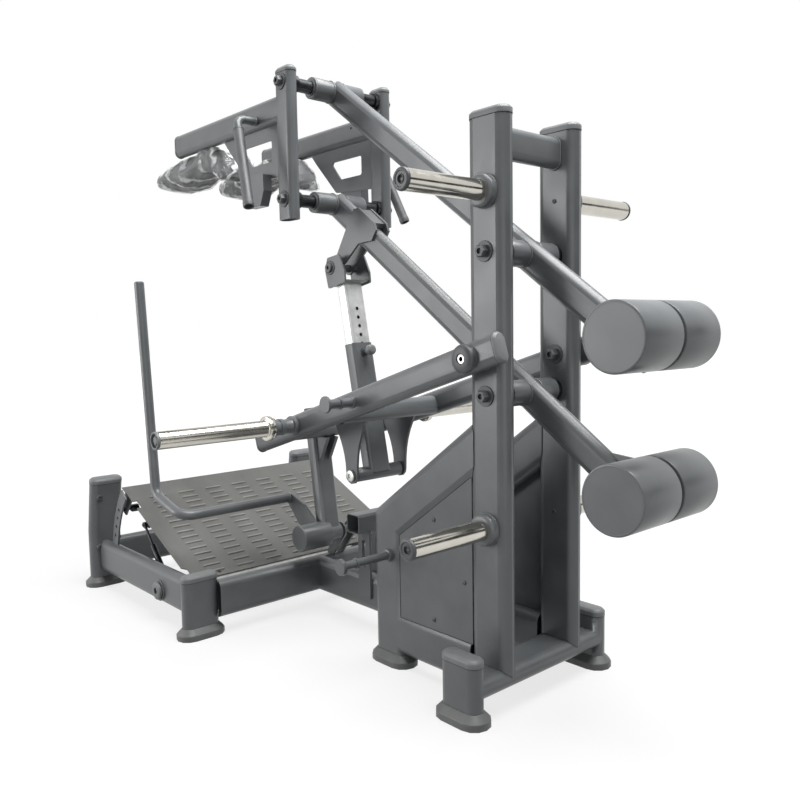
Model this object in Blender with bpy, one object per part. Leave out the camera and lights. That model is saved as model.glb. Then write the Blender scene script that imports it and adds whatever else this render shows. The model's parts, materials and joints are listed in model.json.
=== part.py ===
"""Standing lever squat machine with a catch, load arm, strut, yoke and tilting footplate.

Metres, +Z up. +Y points away from the user, +X is the side of the release lever.
All places below are measured from the floor (z 0), the machine's centre plane (x 0) and
the centre of the two uprights (y 0). The datum empty then shifts the machine along Y, so
that the finished part's origin is the bottom centre of its overall box.
"""
from math import atan2, cos, hypot, pi, radians, sin, sqrt

import bmesh
import bpy
from mathutils import Matrix, Vector

# Clearances
GAP = 0.0003
WELD_GAP = 0.0009
WELD_IN = 0.0015
STEP = 0.0006
RUNNING = 0.0004
VENT_R = 0.004

# Frame tube: flat-sided oval, round edges
FRAME_WIDE = 0.120
FRAME_NARROW = 0.050
FRAME_WALL = 0.003
# Lever and yoke tube, the same form one size down
ARM_WIDE = 0.080
ARM_NARROW = 0.040
ARM_WALL = 0.003

# Uprights and base
UPRIGHT_X = 0.135
UPRIGHT_TOP = 1.450
CAP_HEIGHT = 0.016
BASE_Z = 0.083
REAR_POST_X = 0.250
REAR_POST_TOP = 0.147
FOOT_MARGIN = 0.018
FOOT_HEIGHT = 0.035
TOP_TUBE_DROP = 0.055
TOP_TUBE_Z = UPRIGHT_TOP - TOP_TUBE_DROP

# Side frames
FRONT_POST_Y = -0.381
SHOULDER_Z = 0.437
DIAGONAL_SLOPE = radians(35.9)
SIDE_BEAM_Z = 0.096
PANEL_SHEET = 0.002
PANEL_OUT = 0.018
PANEL_LAP = 0.0102
PANEL_BACK_LAP = 0.0060

# Platform
PLATFORM_Z = 0.115
FRONT_BEAM_Y = -0.925
PLATFORM_POST_X = 0.446
PLATFORM_FRONT_Y = -0.954
PLATFORM_SIDE_X = 0.450
FRONT_POST_TOP = 0.180
REAR_POST_KNEE = 0.210
REAR_POST_LEAN = radians(10.5)
REAR_POST_UPPER = 0.190

# Footplate and its tilt
TILT_Y = -1.174
TILT_Z = 0.101
PLATE_TILT = radians(24.7)
ARC_RADIUS = 0.4175
ARC_BACK = 0.1085
PLATFORM_REAR_Y = TILT_Y - ARC_RADIUS - ARC_BACK
PLATE_HALF_WIDTH = 0.437
PLATE_THICK = 0.005
PLATE_FRONT = 0.115
PLATE_PAST_ARC = 0.0345
PLATE_REAR = ARC_RADIUS + PLATE_PAST_ARC
PLATE_RISE = 0.112
LOUVRE_LENGTH = 0.062
LOUVRE_WIDTH = 0.011
LOUVRE_RISE = 0.0025
LOUVRE_ROWS = 14
LOUVRE_COLUMNS = 7
ARC_X = 0.450
ARC_PLATE = 0.006
ARC_WIDTH = 0.045
ARC_HOLE = 0.0065
ARC_STEP = radians(5.0)
ARC_HOLES = 4
RIB_X = 0.340
NOTCH_BACK = 0.115
CORNER_BACK = 0.075
CORNER_CLEAR = 0.004
PIN_ANGLE = radians(30.0)

PIN_R = 0.0055
PIN_TAB_X = 0.425
GAS_X = 0.395
GAS_LOW = (-1.300, 0.100)
GAS_HIGH = (-1.450, 0.260)
GAS_R = 0.011
GAS_ROD_R = 0.0045
GAS_EYE_R = 0.010
GAS_STUD_R = 0.005
GAS_PLAY = 0.0018
GAS_INSERT = 0.070
AXLE_R = 0.013

# Levers: parallel pair through the uprights
LEVER_LOW_Z = 0.786
LEVER_PITCH = 0.3475
LEVER_SLOPE = radians(36.04)
YOKE_Y = -0.777
FULCRUM_R = 0.015
HUB_R = 0.0325
HUB_HALF = 0.088
WEIGHT_Y = 0.355
WEIGHT_RISE = 0.0423
WEIGHT_R = 0.079
WEIGHT_HALF = 0.156
WEIGHT_WALL = 0.008
WEIGHT_CORE = 0.022
WEIGHT_GROOVE = 0.009

# Yoke
YOKE_X = 0.185
YOKE_BELOW = 0.061
YOKE_ABOVE = 0.029
YOKE_SHAFT_R = 0.020
SHOULDER_TUBE_Z = 1.627
SHOULDER_TUBE_REAR = -1.467
SIDE_PLATE_X = 0.180
SIDE_PLATE = 0.006
HANDLE_X = 0.272
HANDLE_Y = -0.922
HANDLE_Z = 1.608
HANDLE_R = 0.0125
GRIP_R = 0.0160
GRIP_START = 0.010
PAD_INNER_X = 0.060
PAD_OUTER_X = 0.205

# Storage and load horns
HORN_R = 0.025
HORN_TIP = 0.428
COLLAR_R = 0.040
COLLAR_LENGTH = 0.022
PEG_R = 0.011
PEG_LOW_Z = 0.318
HORN_HIGH_Z = 1.275
HORN_LOW_Z = 0.457
LOAD_HORN_Y = -0.723
LOAD_HORN_TIP = 0.679
LOAD_STUB_R = 0.020
LOAD_STUB_LENGTH = 0.085

# Load arm
LOAD_ARM_X = 0.208
LOAD_ARM_WIDE = 0.075
LOAD_PIVOT_Z = 0.879
LOAD_ARM_SLOPE = radians(16.8)
LOAD_ARM_FRONT = -0.940
LOAD_ARM_REAR = 0.085
REAR_CROSS_Y = -0.545
FRONT_CROSS_Y = -0.858
FRONT_CROSS_R = 0.024
BAND_PEG_Y = -0.437

# Strut between the lower lever and the load arm
STRUT_TOP = (-0.754, 1.148)
STRUT_BOTTOM = (-0.606, 0.506)
STRUT_TUBE_TOP = (-0.727, 1.104)
STRUT_PIN_R = 0.012
STRUT_AXLE_R = 0.014
STRUT_PLAY = 0.0018
STRUT_OUTER_WIDE = 0.080
STRUT_OUTER_DEEP = 0.050
STRUT_OUTER_CORNER = 0.012
STRUT_WALL = 0.0035
STRUT_OUTER_TOP = 0.250
STRUT_INNER_START = 0.072
STRUT_HEAD = 0.058
STRUT_HOLE_R = 0.006
STRUT_PITCH = 0.028
STRUT_HOLES = 8
STRUT_LUG_X = 0.094
LUG_THICK = 0.008
CLEVIS_WIDE = 0.106

# Catch and release lever
CATCH_Y = -0.864
CATCH_Z = 0.265
CATCH_R = 0.043
CATCH_CLEAR = 0.012
CATCH_NECK_R = 0.028
CATCH_NEAR = 0.124
CATCH_STEP = 0.0125
CATCH_FAR = -0.0375
CATCH_CHEEKS = (-0.047, -0.086)
CATCH_POST_TOP = 0.4206
CATCH_LEAN = radians(8.4)
CATCH_POST_WIDE = 0.070
CATCH_POST_DEEP = 0.050
LEVER_BAR_R = 0.016
LEVER_BAR_X = 0.460
LEVER_PLATE_X = 0.045
LEVER_RUN_Y = -1.025
LEVER_RUN_Z = 0.370

# Spine and stop pedestal
STOP_Y = -0.640
STOP_Z = 0.345
STOP_HALF = 0.075
STOP_TUBE = 0.060
STOP_CHEEK = 0.056

ARC_STEPS = 3
TURN_STEPS = 16
WEIGHT_STEPS = 20
OVERALL_FRONT = PLATFORM_REAR_Y - FRAME_NARROW / 2 - FOOT_MARGIN
OVERALL_REAR = WEIGHT_Y + WEIGHT_R
DATUM_Y = -(OVERALL_FRONT + OVERALL_REAR) / 2

X_AXIS = Vector((1, 0, 0))
Y_AXIS = Vector((0, 1, 0))
Z_AXIS = Vector((0, 0, 1))
SIDE_PLANE = Matrix(((0, 0, 1), (1, 0, 0), (0, 1, 0)))


# Scene set-up

def clear_scene():
    """Remove what the file opened with."""
    for item in list(bpy.data.objects):
        bpy.data.objects.remove(item, do_unlink=True)


def material(name, colour, roughness, metallic):
    """Return a Principled material in a plain sRGB hex colour."""
    made = bpy.data.materials.new(name)
    made.use_nodes = True
    shader = made.node_tree.nodes["Principled BSDF"]
    channels = [int(colour[i:i + 2], 16) / 255 for i in (0, 2, 4)]
    linear = [((c + 0.055) / 1.055) ** 2.4 for c in channels]
    shader.inputs["Base Color"].default_value = (*linear, 1)
    shader.inputs["Roughness"].default_value = roughness
    shader.inputs["Metallic"].default_value = metallic
    made.diffuse_color = (*linear, 1)
    return made


def axis_empty(name, parent, x, y, z):
    """Add an empty on a joint's axis, at a place in the machine's own frame."""
    empty = bpy.data.objects.new(name, None)
    bpy.context.scene.collection.objects.link(empty)
    empty.empty_display_size = 0.1
    empty.parent = parent
    place = Vector((x, y, z))
    empty["place"] = place
    empty.location = place - (Vector(parent["place"]) if parent else Vector())
    return empty


def node(name, finish, parent, body):
    """Make a body, given in machine coordinates, into a named object under a parent."""
    bmesh.ops.translate(body, verts=body.verts, vec=-Vector(parent["place"]))
    mesh = bpy.data.meshes.new(name)
    body.to_mesh(mesh)
    body.free()
    mesh.materials.append(finish)
    mesh.shade_smooth()
    mesh.set_sharp_from_angle(angle=radians(35))
    made = bpy.data.objects.new(name, mesh)
    bpy.context.scene.collection.objects.link(made)
    made.parent = parent
    return made


def pair(name, finish, parent, body):
    """Make a body at +X and its mirror image into two named objects."""
    twin = mirrored(body)
    node(name + "_right", finish, parent, body)
    node(name + "_left", finish, parent, twin)


def helper(body):
    """Put a body in the scene for the length of a Boolean."""
    mesh = bpy.data.meshes.new("helper")
    body.to_mesh(mesh)
    body.free()
    made = bpy.data.objects.new("helper", mesh)
    bpy.context.scene.collection.objects.link(made)
    return made


def weld(body, *more, cuts=()):
    """Unite bodies that reach into each other, then cut others out; return one body."""
    base = helper(body)
    tools = []
    for operation, bodies in (("UNION", more), ("DIFFERENCE", cuts)):
        for piece in bodies:
            tool = helper(piece)
            tools.append(tool)
            step = base.modifiers.new(operation.lower(), "BOOLEAN")
            step.operation = operation
            step.solver = "EXACT"
            step.object = tool
    graph = bpy.context.evaluated_depsgraph_get()
    made = bpy.data.meshes.new_from_object(base.evaluated_get(graph))
    result = bmesh.new()
    result.from_mesh(made)
    bmesh.ops.remove_doubles(result, verts=result.verts, dist=2e-6)
    bmesh.ops.dissolve_degenerate(result, edges=result.edges, dist=2e-6)
    for item in (base, *tools):
        bpy.data.objects.remove(item, do_unlink=True)
    return result


# Shapes

def skin(rings, ring_shaped=False):
    """Join equal rings of points into one closed body, as a bar or as a hollow tube."""
    body = bmesh.new()
    loops = [[body.verts.new(p) for p in ring] for ring in rings]
    count = len(rings[0])
    pairs = list(zip(loops, loops[1:]))
    if ring_shaped:
        pairs.append((loops[-1], loops[0]))
    else:
        body.faces.new(loops[0])
        body.faces.new(loops[-1])
    for low, high in pairs:
        for i in range(count):
            j = (i + 1) % count
            body.faces.new((low[i], low[j], high[j], high[i]))
    bmesh.ops.recalc_face_normals(body, faces=body.faces)
    return body


def hollow(outer, inner):
    """Return a body with a closed space inside it, which a vent must open later."""
    bmesh.ops.reverse_faces(inner, faces=inner.faces)
    mesh = bpy.data.meshes.new("inner")
    inner.to_mesh(mesh)
    inner.free()
    outer.from_mesh(mesh)
    return outer


def mirrored(body):
    """Return a copy of a body on the other side of the centre plane."""
    twin = body.copy()
    bmesh.ops.scale(twin, verts=twin.verts, vec=(-1, 1, 1))
    bmesh.ops.reverse_faces(twin, faces=twin.faces)
    return twin


def both(body):
    """Return a body and its mirror image."""
    return body, mirrored(body)


def oval(wide, narrow, corner, steps=ARC_STEPS):
    """Return the points of a rectangle with round corners, centred on the origin."""
    points = []
    for turn, (su, sv) in enumerate(((1, 1), (-1, 1), (-1, -1), (1, -1))):
        centre = Vector((su * (wide / 2 - corner), sv * (narrow / 2 - corner)))
        for i in range(steps + 1):
            angle = (turn + i / steps) * pi / 2
            point = centre + corner * Vector((cos(angle), sin(angle)))
            if not points or (point - points[-1]).length > 1e-6:
                points.append(point)
    if (points[0] - points[-1]).length < 1e-6:
        points.pop()
    return points


class Tube:
    """A hollow tube of oval section along straight runs, cut at its ends by what it meets."""

    def __init__(self, path, side, wide, narrow, wall, corner=None):
        self.path = [Vector(p) for p in path]
        self.start = self.path[0]
        self.end = self.path[-1]
        self.side = Vector(side)
        self.wide = wide
        self.narrow = narrow
        self.wall = wall
        self.corner = narrow / 2 if corner is None else corner
        self.axes = [(b - a).normalized() for a, b in zip(self.path, self.path[1:])]
        self.acrosses = [self.side.cross(axis).normalized() for axis in self.axes]

    def clearance(self, point):
        """Return how far a point is outside the outer surface of the tube's first run."""
        offset = point - self.start
        u = abs(offset.dot(self.acrosses[0])) - self.wide / 2 + self.corner
        v = abs(offset.dot(self.side)) - self.narrow / 2 + self.corner
        return hypot(max(u, 0), max(v, 0)) + min(max(u, v), 0) - self.corner

    def rings(self, inset, start_cut, end_cut, shorter):
        """Return the section's points at the start, at each corner and at the end."""
        outline = oval(self.wide - 2 * inset, self.narrow - 2 * inset, self.corner - inset)
        stations = [[] for _ in self.path]
        for u, v in outline:
            for i, point in enumerate(self.path):
                if i == 0:
                    line = point + u * self.acrosses[0] + v * self.side
                    stations[0].append(line - (start_cut(line, -self.axes[0]) - shorter[0]) * self.axes[0])
                elif i == len(self.path) - 1:
                    line = point + u * self.acrosses[-1] + v * self.side
                    stations[i].append(line + (end_cut(line, self.axes[-1]) - shorter[1]) * self.axes[-1])
                else:
                    across = self.acrosses[i - 1] + self.acrosses[i]
                    stations[i].append(point + u * across * 2 / across.length_squared + v * self.side)
        return stations

    def cap_rings(self, at_end, height, edge):
        """Return the rings of a closed end, from the tube to its crown."""
        centre = self.end if at_end else self.start
        along = self.axes[-1] if at_end else -self.axes[0]
        across = self.acrosses[-1] if at_end else self.acrosses[0]
        made = []
        for inset, rise in ((0, height - edge), (edge, height)):
            outline = oval(self.wide - 2 * inset, self.narrow - 2 * inset, self.corner - inset)
            made.append([centre + rise * along + u * across + v * self.side for u, v in outline])
        return made

    def body(self, start_cut=None, end_cut=None, caps=(False, False), height=0.016, edge=0.004):
        """Return the tube's body. A capped end is closed, and is always cut square."""
        start_cut = start_cut or square(0)
        end_cut = end_cut or square(0)
        shorter = [self.wall if capped else 0 for capped in caps]
        outer = self.rings(0, start_cut, end_cut, (0, 0))
        inner = self.rings(self.wall, start_cut, end_cut, shorter)
        before = list(reversed(self.cap_rings(False, height, edge))) if caps[0] else []
        after = self.cap_rings(True, height, edge) if caps[1] else []
        outside = before + outer + after
        if all(caps):
            return hollow(skin(outside), skin(inner))
        if caps[1]:
            return skin(list(reversed(inner)) + outside)
        if caps[0]:
            return skin(outside + list(reversed(inner)))
        return skin(outside + list(reversed(inner)), ring_shaped=True)


def square(back):
    """Cut a tube's end square, a little back from its end point."""
    def cut(line, direction):
        return -back
    return cut


def saddle(clearance, centre, back, run_up=0.25):
    """Cut a tube's end to fit round what it meets, or at its axis where it passes by."""
    centre = Vector(centre)

    def cut(line, direction):
        limit = (centre - line).dot(direction)
        travelled = limit - run_up
        for _ in range(400):
            room = clearance(line + travelled * direction) - back
            if room < 1e-7 or travelled > limit:
                break
            travelled += room
        return min(travelled, limit)
    return cut


def against(tube, centre=None, back=WELD_GAP):
    """Cut a tube's end to fit another tube's outer surface; back is negative for a weld."""
    return saddle(tube.clearance, centre or tube.start, back)


def against_twin(tube, back=WELD_GAP, centre=None):
    """Cut a tube's end to fit the mirror image of another tube."""
    centre = centre or (-tube.start.x, tube.start.y, tube.start.z)
    return saddle(lambda point: tube.clearance(Vector((-point.x, point.y, point.z))), centre, back)


def against_round(centre, axis, radius, back=WELD_GAP):
    """Cut a tube's end to fit a round bar or drum."""
    centre = Vector(centre)
    axis = Vector(axis).normalized()

    def clearance(point):
        offset = point - centre
        return (offset - offset.dot(axis) * axis).length - radius
    return saddle(clearance, centre, back)


def stack(centre, across, wide, narrow, corner, profile):
    """Return an upright moulding whose outline follows a tube: profile holds (outward, height)."""
    centre = Vector(centre)
    across = Vector(across).normalized()
    side = Z_AXIS.cross(across)
    rings = []
    for out, height in profile:
        outline = oval(wide + 2 * out, narrow + 2 * out, corner + out)
        rings.append([centre + height * Z_AXIS + u * across + v * side for u, v in outline])
    return skin(rings)


def turned(profile, centre, axis, steps=TURN_STEPS):
    """Turn a profile of (radius, distance) points round an axis through a centre."""
    centre = Vector(centre)
    axis = Vector(axis).normalized()
    radial = Z_AXIS.copy() if abs(axis.z) < 0.1 else axis.orthogonal().normalized()
    body = bmesh.new()
    verts = [body.verts.new(centre + r * radial + d * axis) for r, d in profile]
    edges = [body.edges.new(pair) for pair in zip(verts, verts[1:])]
    if profile[0][0] > 0 and profile[-1][0] > 0:
        edges.append(body.edges.new((verts[-1], verts[0])))
    bmesh.ops.spin(body, geom=verts + edges, cent=centre, axis=axis, angle=2 * pi, steps=steps,
                   use_merge=True, use_duplicate=False)
    bmesh.ops.remove_doubles(body, verts=body.verts, dist=1e-6)
    bmesh.ops.recalc_face_normals(body, faces=body.faces)
    return body


def rod(radius, low, high, centre, axis=X_AXIS, edge=0.0, steps=TURN_STEPS):
    """Return a round bar between two distances along an axis, with bevelled ends."""
    profile = [(0, low), (radius - edge, low), (radius, low + edge), (radius, high - edge),
               (radius - edge, high), (0, high)]
    if edge == 0:
        profile = [(0, low), (radius, low), (radius, high), (0, high)]
    return turned(profile, centre, axis, steps)


def sleeve(outer, bore, low, high, centre, axis=X_AXIS, steps=TURN_STEPS):
    """Return a round sleeve with a bore right through it."""
    profile = ((bore, low), (outer, low), (outer, high), (bore, high))
    return turned(profile, centre, axis, steps)


def rounded(points, radii, steps=3):
    """Round each corner of an outline by its own radius."""
    result = []
    count = len(points)
    for i, point in enumerate(points):
        radius = radii[i] if isinstance(radii, (list, tuple)) else radii
        here = Vector(point)
        if radius == 0:
            result.append(here)
            continue
        before = (Vector(points[i - 1]) - here).normalized()
        after = (Vector(points[(i + 1) % count]) - here).normalized()
        half = before.angle(after) / 2
        centre = here + (before + after).normalized() * radius / sin(half)
        start = here + before * (radius * cos(half) / sin(half)) - centre
        end = here + after * (radius * cos(half) / sin(half)) - centre
        sweep = start.angle_signed(end)
        for j in range(steps + 1):
            result.append(centre + Matrix.Rotation(-sweep * j / steps, 2) @ start)
    return result


def circle(centre, radius, steps=12):
    """Return the points of a circle."""
    return [Vector((centre[0] + radius * cos(2 * pi * i / steps),
                    centre[1] + radius * sin(2 * pi * i / steps))) for i in range(steps)]


def plate(outline, low, high, holes=(), plane=SIDE_PLANE, origin=(0, 0, 0)):
    """Return a flat plate with holes; by default it stands in the Y-Z plane."""
    body = bmesh.new()
    origin = Vector(origin)
    edges = []
    for loop in (outline, *holes):
        verts = [body.verts.new(origin + plane @ Vector((p[0], p[1], low))) for p in loop]
        edges += [body.edges.new((verts[i - 1], verts[i])) for i in range(len(verts))]
    bmesh.ops.triangle_fill(body, use_beauty=True, use_dissolve=False, edges=edges)
    grown = bmesh.ops.extrude_face_region(body, geom=body.faces[:])
    raised = [item for item in grown["geom"] if isinstance(item, bmesh.types.BMVert)]
    bmesh.ops.translate(body, verts=raised, vec=plane @ Vector((0, 0, high - low)))
    bmesh.ops.recalc_face_normals(body, faces=body.faces)
    return body


def bent_bar(points, radii, bend, steps=12, bend_steps=5):
    """Sweep a round bar along a route with a bend of one radius at each corner.

    The last run may have its own radius, as where a grip is on the bar.
    """
    route = [Vector(points[0])]
    for before, here, after in zip(points, points[1:], points[2:]):
        here = Vector(here)
        back = (Vector(before) - here).normalized()
        ahead = (Vector(after) - here).normalized()
        half = back.angle(ahead) / 2
        centre = here + (back + ahead).normalized() * bend / sin(half)
        arm = here + back * bend * cos(half) / sin(half) - centre
        turn = Matrix.Rotation((pi - 2 * half) / bend_steps, 3, ahead.cross(back))
        for _ in range(bend_steps + 1):
            route.append(centre + arm)
            arm = turn @ arm
    route.append(Vector(points[-1]))
    widths = [radii[0]] * len(route)
    if len(radii) > 1:
        last = route[-1]
        heading = (last - route[-2]).normalized()
        start = route[-2] + heading * GRIP_START
        route[-1:] = [start, start + heading * 0.0005, last - heading * 0.002, last]
        widths = widths[:-1] + [radii[0], radii[1], radii[1], radii[1] - 0.002]
    rings = []
    side = (route[1] - route[0]).normalized().orthogonal().normalized()
    for i, point in enumerate(route):
        before = (point - route[i - 1]).normalized() if i else (route[1] - route[0]).normalized()
        after = (route[i + 1] - point).normalized() if i + 1 < len(route) else before
        heading = (before + after).normalized()
        side = (side - side.dot(heading) * heading).normalized()
        up = heading.cross(side)
        angles = [2 * pi * k / steps for k in range(steps)]
        rings.append([point + widths[i] * (cos(a) * side + sin(a) * up) for a in angles])
    return skin(rings)


# Finishes

def finishes():
    """Return the machine's materials by name."""
    return {
        "paint": material("charcoal_powder_coat", "5f6265", 0.42, 0.35),
        "cap": material("grey_end_cap", "4b4d4f", 0.55, 0.0),
        "rubber": material("grey_rubber", "4a4b4a", 0.75, 0.0),
        "chrome": material("hard_chrome", "d9dbd8", 0.12, 1.0),
        "steel": material("bright_steel", "c9cbc8", 0.28, 1.0),
        "dark": material("black_oxide_steel", "2a2b2c", 0.4, 0.7),
        "plate": material("textured_footplate", "6b6966", 0.55, 0.3),
        "grip": material("black_grip_rubber", "3a3b3c", 0.6, 0.0),
        "pad": material("pad_vinyl", "2f3031", 0.5, 0.0),
    }


# Frame

def frame_tube(path, side):
    """Return a tube of the frame's section, narrow along its side direction."""
    return Tube(path, side, FRAME_WIDE, FRAME_NARROW, FRAME_WALL)


def arm_tube(path, side):
    """Return a tube of the levers' and yoke's section, narrow along its side direction."""
    return Tube(path, side, ARM_WIDE, ARM_NARROW, ARM_WALL)


def vent(x, y, z, axis=Z_AXIS, reach=0.008):
    """Return the cutter of a drain hole through one wall."""
    return rod(VENT_R, -reach, reach, (x, y, z), axis, steps=8)


def foot_under(tube):
    """Return the rubber foot under a vertical tube that starts just above the foot's top."""
    profile = ((FOOT_MARGIN, 0), (FOOT_MARGIN, 0.018), (0.004, FOOT_HEIGHT - 0.003), (0.001, FOOT_HEIGHT))
    centre = (tube.start.x, tube.start.y, 0)
    return stack(centre, tube.acrosses[0], tube.wide, tube.narrow, tube.corner, profile)


def build_base(parent, finish):
    """Build the crossbeam with its rear posts, the uprights and the top cross tube."""
    foot_top = FOOT_HEIGHT + GAP
    rear_post = frame_tube(((REAR_POST_X, 0, foot_top), (REAR_POST_X, 0, REAR_POST_TOP)), X_AXIS)
    beam = frame_tube(((-REAR_POST_X, 0, BASE_Z), (REAR_POST_X, 0, BASE_Z)), Z_AXIS)
    beam_body = beam.body(against_twin(rear_post, -WELD_IN), against(rear_post, None, -WELD_IN))
    posts = both(rear_post.body(caps=(False, True)))
    node("rear_base", finish["paint"], parent,
         weld(beam_body, *posts, cuts=[vent(0.03, 0, BASE_Z - FRAME_NARROW / 2)]))
    beam_top = BASE_Z + FRAME_NARROW / 2
    upright = frame_tube(((UPRIGHT_X, 0, beam_top), (UPRIGHT_X, 0, UPRIGHT_TOP)), X_AXIS)
    upright_body = weld(upright.body(against(beam, (UPRIGHT_X, 0, BASE_Z))), *horn_collars(), load_pivot())
    pair("upright", finish["paint"], parent, upright_body)
    inner = UPRIGHT_X - FRAME_NARROW / 2
    top_tube = arm_tube(((-inner, 0, TOP_TUBE_Z), (inner, 0, TOP_TUBE_Z)), Y_AXIS)
    node("top_cross_tube", finish["paint"], parent, top_tube.body(square(GAP), square(GAP)))
    plug = -FRAME_WALL - GAP
    edge = 0.004
    cap = stack((UPRIGHT_X, 0, UPRIGHT_TOP), Y_AXIS, FRAME_WIDE, FRAME_NARROW, FRAME_NARROW / 2,
                ((plug, -0.025), (plug, GAP), (0, GAP), (0, CAP_HEIGHT - edge), (-edge, CAP_HEIGHT)))
    pair("upright_cap", finish["cap"], parent, cap)
    pair("rear_foot", finish["rubber"], parent, foot_under(rear_post))
    return upright


def horn_collars():
    """Return the welded collars of the two storage horns on the upright at +X."""
    face = UPRIGHT_X + FRAME_NARROW / 2 - WELD_IN
    end = UPRIGHT_X + FRAME_NARROW / 2 + COLLAR_LENGTH
    return [turned(((0, face), (COLLAR_R, face), (COLLAR_R, end - 0.006), (COLLAR_R - 0.006, end), (0, end)),
                   (0, 0, z), X_AXIS) for z in (HORN_LOW_Z, HORN_HIGH_Z)]


def load_pivot():
    """Return the load arm's pivot on the upright at +X: boss, stub and domed retainer."""
    face = UPRIGHT_X + FRAME_NARROW / 2 - WELD_IN
    boss = UPRIGHT_X + FRAME_NARROW / 2 + 0.010
    out = LOAD_ARM_X + ARM_NARROW / 2 + 0.0032
    return turned(((0, face), (0.030, face), (0.030, boss), (LOAD_STUB_R, boss), (LOAD_STUB_R, out),
                   (0.034, out), (0.034, out + 0.008), (0.027, out + 0.014), (0.012, out + 0.016),
                   (0.012, out + 0.010), (0, out + 0.010)), (0, 0, LOAD_PIVOT_Z), X_AXIS)


def build_side_frames(parent, finish, upright):
    """Build both side frames: bent front post and diagonal, lower beam, sheet and band peg."""
    half = FRAME_WIDE / 2
    tall = FRAME_WIDE / cos(DIAGONAL_SLOPE)
    rise = sin(DIAGONAL_SLOPE) / cos(DIAGONAL_SLOPE)
    centre_z = SHOULDER_Z - tall / 2
    knee = Vector((UPRIGHT_X, FRONT_POST_Y, centre_z + rise * half))
    rear = Vector((UPRIGHT_X, 0, centre_z - rise * (FRONT_POST_Y - half)))
    post = frame_tube(((UPRIGHT_X, FRONT_POST_Y, FOOT_HEIGHT + GAP), knee, rear), X_AXIS)
    beam = frame_tube(((UPRIGHT_X, FRONT_POST_Y, SIDE_BEAM_Z), (UPRIGHT_X, -half, SIDE_BEAM_Z)), X_AXIS)
    front = FRONT_POST_Y + half - PANEL_LAP
    back = -half + PANEL_BACK_LAP
    low = SIDE_BEAM_Z + half - PANEL_LAP
    under = (PANEL_LAP - half) / cos(DIAGONAL_SLOPE)
    corners = ((front, low), (back, low), (back, knee.z + under + rise * (back - knee.y)),
               (front, knee.z + under + rise * (front - knee.y)))
    sheet_x = UPRIGHT_X + PANEL_OUT - PANEL_SHEET / 2
    sheet = plate(corners, sheet_x, sheet_x + PANEL_SHEET)
    face = UPRIGHT_X + FRAME_NARROW / 2
    peg = turned(((0, face - WELD_IN), (0.017, face - WELD_IN), (0.017, face + 0.010), (PEG_R, face + 0.010),
                  (PEG_R, face + 0.118), (0.015, face + 0.118), (0.015, face + 0.123),
                  (PEG_R, face + 0.123), (PEG_R, face + 0.165), (0.022, face + 0.165),
                  (0.022, face + 0.176), (0, face + 0.176)),
                 (0, FRONT_POST_Y + 0.011, PEG_LOW_Z), X_AXIS, 12)
    body = weld(post.body(None, against(upright, (UPRIGHT_X, 0, rear.z))),
                beam.body(against(post, None, -WELD_IN), square(GAP)), sheet, peg)
    pair("side_frame", finish["paint"], parent, body)
    pair("side_frame_foot", finish["rubber"], parent, foot_under(post))


def platform_front_post():
    """Return the platform's front post at +X, as a tube."""
    place = (PLATFORM_POST_X, PLATFORM_FRONT_Y)
    return frame_tube(((*place, FOOT_HEIGHT + GAP), (*place, FRONT_POST_TOP)), Y_AXIS)


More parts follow.
